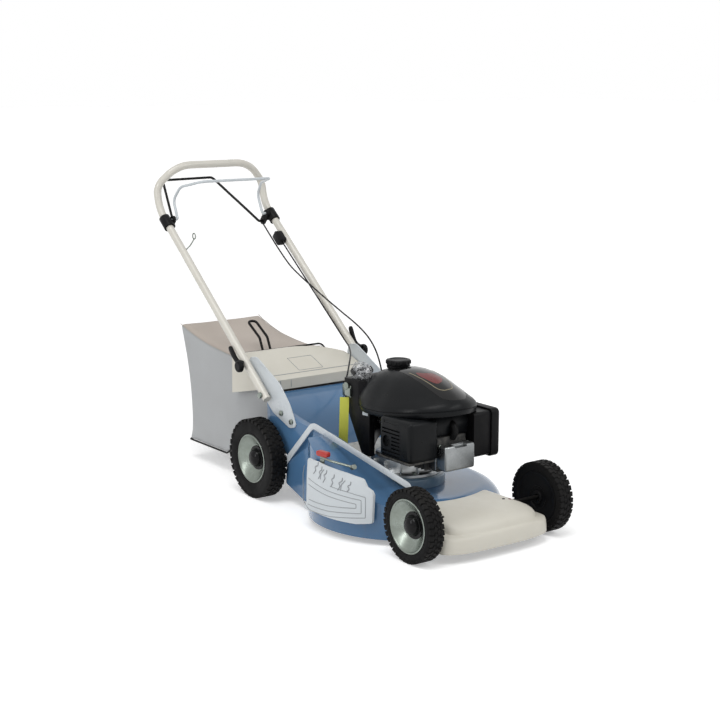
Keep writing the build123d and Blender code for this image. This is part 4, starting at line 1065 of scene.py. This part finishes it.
def make_apron():
    """The deck's side skirt runs back under the height link to the rear wheel."""
    outline = rounded([(-516, 15), (-516, 196), (-548, 196), (-661, 124), (-666, 58), (-570, 26)],
                      [0, 0, 10, 10, 8, 30])
    skirt = plate("deck_side_skirt", outline, -196.5, -194.2, "Y", 0.6)
    fit_out(skirt, steel_blue)


def make_flap_details():
    """A pressed square and an edge line on the flap, drawn in painted shade, and its slots as thin plates of
    painted shade.
    """
    def on_flap(x, y):
        z = 359 + (x + 800) * (413 - 359) / (-935 + 800)
        return (x, y, z + 0.2)

    corners = [on_flap(-880, -46), on_flap(-880, 44), on_flap(-812, 44), on_flap(-812, -46),
               on_flap(-880, -46)]
    line = bent_rod("flap_square", corners, [3, 3, 3], 0.8, 4, sides=2)
    fit_out(line, panel_shade, "flap")
    edge = bent_rod("flap_edge", [on_flap(-802, -181), on_flap(-802, 181)], [], 1.2, 2, sides=2)
    fit_out(edge, panel_shade, "flap")
    # The slots are not cut: each is a thin dark plate on the flap's face, painted shade where the slot's
    # shadow would fall.
    for n, (y, wide) in enumerate(((-152, 5), (-142, 3), (-102, 1.5))):
        gap = plate("flap_slot_shadow_%d" % n, [(y, 324), (y + wide, 324), (y + wide, 347), (y, 347)], -777, -775,
                    "X", 0.4)
        fit_out(gap, panel_shade if n else black_plastic, "flap")


CLAMP_X, CLAMP_Z = -858.7, 391.2
LEFT_LIFT = 18  # degrees that the left lever stands up from the right one


def make_levers():
    """Long curved clamping levers with round heads."""
    spine = [(0, 0, 16.5), (-14, 3, 14), (-26, 7, 9.5), (-38, 14, 7.6), (-50, 24, 8), (-61, 35, 8.6),
             (-69, 44, 8.2), (-74, 50, 5)]
    upper, lower = [], []
    for n, (x, z, half) in enumerate(spine):
        a, b = spine[max(n - 1, 0)], spine[min(n + 1, len(spine) - 1)]
        run = Vector((b[0] - a[0], b[1] - a[1])).normalized()
        side = Vector((-run.y, run.x))
        upper.append((x + side.x * half, z + side.y * half))
        lower.append((x - side.x * half, z - side.y * half))
    arm = [(CLAMP_X + x, CLAMP_Z + z) for x, z in lower + upper[::-1]]
    right = [plate("lever_arm", arm, -229.5, -219.5, "Y", 3.4, 3)]
    right.append(smooth(turned("lever_head", [
        (0.2, -13.4), (13, -13.4), (17, -11), (18, -8), (18, 0), (16, 2.4), (8, 3), (7, 1.4), (0.2, 1.4)], 40,
        spot(CLAMP_X, -232.2, CLAMP_Z, -90)), 30))
    lever = join(right, "clamp_lever_right")
    lift = spot(CLAMP_X, 0, CLAMP_Z, LEFT_LIFT, "Y") @ Matrix.Translation(-at(CLAMP_X, 0, CLAMP_Z))
    other = twin(lever, "clamp_lever_left", lift @ MIRRORED)
    stand_in(lever, black_plastic, "cam_lever_right")
    stand_in(other, black_plastic, "cam_lever_left")


TUBE_R = 12.5  # the handle tube


def make_wires():
    """The handle loop and the two bails."""
    slope = math.tan(math.radians(HANDLE_SLOPE))
    low = (-751, 315 - 15 * slope)
    bend = (-1394, 315 + (-766 + 1394) * slope)
    half = [(low[0], 206, low[1]), (bend[0], 206, bend[1]), (-1410, 206, 906)]
    half.append((-1388, 138, (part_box("handle_tube")[1][2] - GROUND) * 1000 - 2 - TUBE_R))
    loop = half + [(x, -y, z) for x, y, z in reversed(half)]
    tube = bent_rod("handle_loop", loop, [110, 62, 118, 118, 62, 110], TUBE_R, 12, sides=10)
    stand_in(tube, cream_paint, "handle_tube")
    brake = [(-1368, -187.4, 772), (-1368, -166, 772), (-1400, -156, 800), (-1545, -108, 913),
             (-1545, 87, 915), (-1400, 150, 800), (-1368, 166, 772), (-1368, 187.4, 772)]
    stand_in(bent_rod("brake_bail_rod", brake, [6, 20, 14, 14, 20, 6], 4.3), gloss_paint, "brake_bail")
    side = [(-1345, 187.4, 800), (-1345, 166, 800), (-1372, 165, 862), (-1338, 157, 906), (-1240, 132, 928)]
    drive = side + [(x, -y, z) for x, y, z in reversed(side)]
    stand_in(bent_rod("drive_bail_rod", drive, [6, 30, 40, 24, 24, 40, 30, 6], 4.6), cool_paint, "drive_bail")


def make_bag_wires():
    """The bag's wire frame: a low loop, a high hoop, a bar across its mouth and a carrying loop."""
    wy, mouth = 163.0, -799.9
    low = [(mouth, 0, 168), (mouth, wy, 168), (-905, wy, 166), (-1062, wy, 62.6), (-1303.6, wy, 62.6)]
    loop = low + [(x, -y, z) for x, y, z in reversed(low)]
    wires = [bent_rod("wire_low", loop, [12, 20, 20, 12, 12, 20, 20, 12], 3.2)]
    wires.append(bent_rod("wire_high", [(mouth, wy, 168), (mouth, wy, 297), (-993.6, wy, 400),
                                        (-993.6, -wy, 400), (mouth, -wy, 297), (mouth, -wy, 168)],
                          [12] * 4, 3.0))
    wires.append(bent_rod("wire_cross", [(mouth, -wy, 292), (mouth, wy, 292)], [], 3.0))
    wires.append(bent_rod("wire_loop", [(-993.6, -64, 400), (-1012, -64, 440), (-1082, -64, 483),
                                        (-1082, -35, 483), (-1012, -35, 440), (-993.6, -35, 400)],
                          [20, 12, 12, 20], 4.2))
    stand_in(join(wires, "bag_wire_frame"), gloss_paint, "bag_frame")


# ------------------------------------------------------------------ grass bag, sewn and hung on its wires
STATIONS = [((-803, 172), (-803, 298)), ((-905, 172), (-900, 350)), ((-1062, 66), (-990, 392)),
            ((-1300, 66), (-1365, 442))]
TOP_ROW, LAST_ROW = 13, 35  # rows of cloth up to the top wire and up to the back
THREAD_STEP = 0.015
HANGING_STEPS = 34


def between(a, b, share):
    return [p + (q - p) * share for p, q in zip(a, b)]


def hang_cloth(bag):
    """Pulls the sewn cloth tight between the wires and lets it sag a little."""
    modifier = bag.modifiers.new("hanging", "CLOTH")
    for key, value in (("quality", 8), ("mass", 0.25), ("tension_stiffness", 30),
                       ("compression_stiffness", 30), ("shear_stiffness", 12), ("bending_stiffness", 0.6),
                       ("vertex_group_mass", "held"), ("shrink_min", 0.05), ("shrink_max", 0.05),
                       ("air_damping", 3)):
        setattr(modifier.settings, key, value)
    scene = bpy.context.scene
    modifier.point_cache.frame_start = scene.frame_start = 1
    modifier.point_cache.frame_end = scene.frame_end = HANGING_STEPS
    for number in range(1, HANGING_STEPS + 1):
        scene.frame_set(number)
    apply_all(bag)
    scene.frame_set(1)


def ease_corners(bag, corners):
    """Lets the top back corners of the cloth round off instead of ending in a point."""
    places = [v.co.copy() for v in bag.data.vertices]
    near = {}
    for edge in bag.data.edges:
        a, b = edge.vertices
        near.setdefault(a, []).append(b)
        near.setdefault(b, []).append(a)
    for corner in corners:
        reach = {corner} | set(near[corner]) | {k for n in near[corner] for k in near[n]}
        for _ in range(2):
            for n in reach:
                places[n] = places[n] * 0.65 + sum((places[k] for k in near[n]),
                                                   Vector()) / len(near[n]) * 0.35
    for v, place in zip(bag.data.vertices, places):
        v.co = place


def shape_cloth(bag, count, across, corners):
    """The wires lift the back edge and pull the bottom hem over themselves."""
    ease_corners(bag, corners)
    tip = bag.data.vertices[corners[0]].co.copy()
    for vertex in bag.data.vertices:
        reach = 1 - math.hypot(vertex.co.x - tip.x, vertex.co.z - tip.z) / 0.17
        middle = 1 - min(abs(vertex.co.y - at(0, 0, 0).y) / 0.165, 1) ** 2
        if reach > 0:
            vertex.co += Vector((-0.004, 0, 0.012 + 0.009 * middle)) * reach ** 1.5
    for row in range(5, LAST_ROW + 1):
        for m in range(across + 1):
            corner = bag.data.vertices[row * count + m]
            if m in (0, across):
                corner.co.y += math.copysign(0.0036, corner.co.y)
            if row == LAST_ROW:
                corner.co.x -= 0.0045
            if m in (0, across) or row == LAST_ROW:
                corner.co.z -= 0.005 * min((row - 5) / 5, 1)


def make_bag():
    """One sheet round the stations and a back panel, pulled tight and thickened."""
    counts = (5, TOP_ROW - 5, LAST_ROW - TOP_ROW)
    lines = [(between(low, next_low, n / count), between(high, next_high, n / count))
             for (low, high), (next_low, next_high), count in zip(STATIONS, STATIONS[1:], counts)
             for n in range(count)]
    lines.append(STATIONS[-1])
    across, up, half = 22, 20, 160.0
    left_top, right_top = across + up, 2 * across + up
    ring = [(-half + 2 * half * n / across, 0.0) for n in range(across)]
    ring += [(half, n / up) for n in range(up)]
    ring += [(half - 2 * half * n / across, 1.0) for n in range(across)]
    ring += [(-half, 1 - n / up) for n in range(up)]
    count = len(ring)
    mesh = bmesh.new()
    rows = []
    for low, high in lines:
        rows.append([])
        for y, k in ring:
            x, z = between(low, high, k)
            rows[-1].append(mesh.verts.new(at(x, y, z)))
    uv = mesh.loops.layers.uv.new("cloth")
    length = 0.0
    for low, high in zip(rows, rows[1:]):
        step = (high[0].co - low[0].co).length
        for m in range(count):
            n = (m + 1) % count
            face = mesh.faces.new((low[m], low[n], high[n], high[m]))
            for loop, (u, v) in zip(face.loops, ((0, m), (0, m + 1), (step, m + 1), (step, m))):
                loop[uv].uv = (length + u, v * THREAD_STEP)
            face.material_index = 1 if left_top <= m < right_top else 0
        length += step
    last = rows[-1]
    grid = {}
    for n in range(across + 1):
        for m in range(up + 1):
            if m == 0:
                grid[n, m] = last[n]
            elif m == up:
                grid[n, m] = last[right_top - n]
            elif n == 0:
                grid[n, m] = last[right_top + up - m]
            elif n == across:
                grid[n, m] = last[across + m]
            else:
                x, z = between(*STATIONS[-1], m / up)
                grid[n, m] = mesh.verts.new(at(x, -half + 2 * half * n / across, z))
    for n in range(across):
        for m in range(up):
            corners = ((n, m), (n + 1, m), (n + 1, m + 1), (n, m + 1))
            face = mesh.faces.new([grid[corner] for corner in corners])
            for loop, (u, v) in zip(face.loops, corners):
                loop[uv].uv = (u * THREAD_STEP, 1.3 + v * THREAD_STEP)
    mesh.normal_update()
    cut_area = sum(face.calc_area() for face in mesh.faces)
    data = bpy.data.meshes.new("grass_bag")
    mesh.to_mesh(data)
    mesh.free()
    bag = outward(linked("grass_bag", data))
    back = LAST_ROW * count
    held = list(range(count)) + [TOP_ROW * count + m for m in range(left_top, right_top + 1)]
    for row in range(1, LAST_ROW + 1):
        edges = (0, across, left_top, right_top) if row <= TOP_ROW else (0, across)
        held += [row * count + m for m in edges]
    held += [back + m for m in range(across + 1)] + [back + left_top, back + right_top]
    bag.vertex_groups.new(name="held").add(held, 1.0, "REPLACE")
    hang_cloth(bag)
    shape_cloth(bag, count, across, [back + left_top, back + right_top])
    top_edges = [[tuple(bag.data.vertices[row * count + m].co) for row in range(LAST_ROW + 1)]
                 for m in (left_top, right_top)]
    for polygon in bag.data.polygons:
        polygon.use_smooth = True
    subdivided = bag.modifiers.new("round", "SUBSURF")
    subdivided.levels = subdivided.render_levels = 1
    smooth(thicken(bag, 0.0014), 60)
    bag.data.materials.append(bag_cloth)
    bag.data.materials.append(bag_top_cloth)
    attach(bag, "bag")
    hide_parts("bag_fabric")
    seams = [as_tube(new_curve("bag_seam_%d" % n, "POLY", line)[0], 0.0012, 2, 60)
             for n, line in enumerate(top_edges)]
    for seam in seams:
        fit_out(seam, bag_hem, "bag")


# ------------------------------------------------------------------ loose small things
def make_starter_rope():
    """The rope stretches out of the engine after the grip."""
    slope = math.radians(HANDLE_SLOPE)
    pull = Vector((-math.cos(slope), 0, math.sin(slope)))
    inner = Vector((-456, -66, 424)) - pull * 40
    rows = [(0.2, 0)] + [(1.8, 36 * n / 30) for n in range(31)] + [(0.2, 36)]
    rope = turned("starter_rope_run", rows, 14,
                  Matrix.Translation(at(*inner)) @ pull.to_track_quat("Z", "Y").to_matrix().to_4x4())
    smooth(outward(rope), 40)
    rope.data.materials.append(cable_skin)
    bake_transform(rope)
    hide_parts("starter_rope")


def make_wrap_and_tag():
    """The clear wrap round the starter grip, and the card tag with its tie and clip."""
    low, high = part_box("starter_grip")
    middle = (Vector(low) + Vector(high)) / 2
    clear_selection()
    bpy.ops.mesh.primitive_ico_sphere_add(subdivisions=4, radius=0.029,
                                          location=middle + Vector((0.002, -0.004, -0.004)))
    wrap = settle(just_added("clear_wrap"))
    for corner in wrap.data.vertices:
        way = (corner.co - middle).normalized()
        fold = noise.noise(way * 3.1) * 0.0045 + abs(noise.noise(way * 9.0)) * 0.0035
        corner.co += way * fold
        corner.co.x = middle.x + (corner.co.x - middle.x) * 1.12
    smooth(thicken(wrap, 0.0004), 25)
    fit_out(wrap, clear_film, "starter")

    clear_selection()
    bpy.ops.mesh.primitive_grid_add(x_subdivisions=6, y_subdivisions=30, size=1)
    tag = just_added("hang_tag")
    for corner in tag.data.vertices:
        x, y = corner.co.x, corner.co.y
        bow = 9 * math.sin((y + 0.5) * 2.8) + 2 * x
        across = x * 27 + 5 * y
        corner.co = at(-478 + across * 0.5933 + bow * 0.8, -116 + across * 0.805 - bow * 0.6, 268 + y * 160)
    outward(thicken(tag, 0.0007))
    fit_out(smooth(tag, 40), lime_card)
    tie = bent_rod("tag_tie", [(-486, -113, 346), (-478, -112, 356), (-466, -108, 372)], [8], 0.9, 6, sides=2)
    fit_out(tie, black_plastic)
    buckle = block("tag_clip", (-478, -114, 352), (-452, -108, 378), 2.5)
    fit_out(buckle, zinc)
    ear = turned("clip_ear", [(0.2, -2), (10, -2), (11, -1), (11, 1), (10, 2), (0.2, 2)], 28,
                 spot(-470, -113, 382, 90))
    fit_out(ear, zinc)


# ------------------------------------------------------------------ nodes whose form is already right
# Each with its finish and how far its edges are eased, in millimetres.
REFINED = [
    ("deck_shell", steel_blue, 1.2), ("engine_ring", pale_blue, 1.5), ("belt_cover", cream_paint, 2),
    ("deck_fasteners", zinc, 0.6), ("crankcase", dark_casting, 0.6), ("muffler", dark_casting, 1),
    ("air_cleaner_case", black_plastic, 1), ("air_cleaner_cover", black_plastic, 5),
    ("fuel_tank", black_plastic, 2),
    ("oil_cap", black_plastic, 0.8), ("starter_grip", gloss_black, 1), ("control_bracket", zinc, 0.3),
    ("crankshaft", bare_steel, 0.3), ("flywheel_fan", cast_metal, 0.3), ("engine_pulley", bare_steel, 0.3),
    ("blade_holder", bare_steel, 0.5), ("blade", dark_casting, 0.4), ("drive_belt", soft_rubber, 0.5),
    ("gearbox_housing", cast_metal, 0.8), ("gearbox_pulley", bare_steel, 0.3),
    ("drive_shaft", bare_steel, 0.3),
    # The front axle gets black enamel as painted shade, dark like the shadow it lies in; the rear axle keeps
    # its zinc.
    ("front_axle", gloss_paint, 0.4), ("rear_axle", zinc, 0.4), ("height_lever", zinc, 0.4),
    ("lever_knob", red_plastic, 1), ("bail_brackets", black_plastic, 1), ("rope_guide", zinc, 0),
    ("cable_box", black_plastic, 1),
]
for node, material, edge in REFINED:
    refined(node, material, edge / 1000, 32 if edge else 40)

for make in (make_wheels, make_dome, make_guard, make_castings, make_fuel_cap, make_panel, make_link,
             make_cowl, make_panel_details, make_brackets, make_apron, make_wires, make_flap,
             make_flap_details, make_levers, make_starter_rope, make_bag_wires, make_bag, make_wrap_and_tag):
    make()


# ------------------------------------------------------------------ floor and light
AIR, KEY, FILL, STRIP = 0.38, 1.1, 0.18, 26.0  # the strengths of world, suns and strip lamps
FLOOR_GLOW = 0.36


def shown_white(nodes):
    """One for what the eye, a mirror or clear film sees; nothing for the light that falls on the object."""
    rays = nodes.node("LightPath").outputs
    seen = nodes.sums("MAXIMUM", rays["Is Camera Ray"], rays["Is Glossy Ray"])
    return nodes.sums("MAXIMUM", seen, rays["Is Transmission Ray"])


def make_floor_and_air():
    clear_selection()
    bpy.ops.mesh.primitive_plane_add(size=80, location=(0, 0, -0.0005))
    floor = just_added("studio_floor")
    pale = Finish("pale floor", 0.9, shine=0.1)
    pale.sockets["Base Color"].default_value = (0.93, 0.93, 0.93, 1)
    pale.sockets["Emission Color"].default_value = (1, 1, 1, 1)
    pale.feed(pale.sockets["Emission Strength"], pale.sums("MULTIPLY", shown_white(pale), FLOOR_GLOW))
    floor.data.materials.append(pale.material)
    world = bpy.data.worlds.new("studio air")
    bpy.context.scene.world = world
    world.use_nodes = True
    air = Nodes(world.node_tree)
    back = next(n for n in world.node_tree.nodes if n.type == "BACKGROUND").inputs
    back["Color"].default_value = (1, 1, 1, 1)
    air.feed(back["Strength"], air.ramp(shown_white(air), 0, 1, AIR, 1))


def lamp(name, kind, place, way, power):
    bpy.ops.object.light_add(type=kind, location=place)
    made = bpy.context.active_object
    made.name = name + "_lamp"
    made.data.energy = power
    made.rotation_euler = Vector(way).to_track_quat("-Z", "Y").to_euler()
    return made.data


def make_lamps():
    lamp("key", "SUN", (0, 0, 4), (-0.25, 0.32, -1.0), KEY).angle = math.radians(30)
    lamp("fill", "SUN", (0, 0, 4), (-1.0, -0.3, -0.9), FILL).angle = math.radians(50)
    for name, place, wide, tall, power in (("side_strip", (0.15, -3.2, 1.9), 0.3, 2.2, STRIP),
                                           ("front_strip", (3.2, 1.2, 2.6), 1.6, 0.5, STRIP * 0.8)):
        strip = lamp(name, "AREA", place, Vector((0.1, 0, 0.35)) - Vector(place), power)
        strip.shape = "RECTANGLE"
        strip.size, strip.size_y = wide, tall


make_floor_and_air()
make_lamps()
bpy.context.scene.view_settings.view_transform = "Standard"
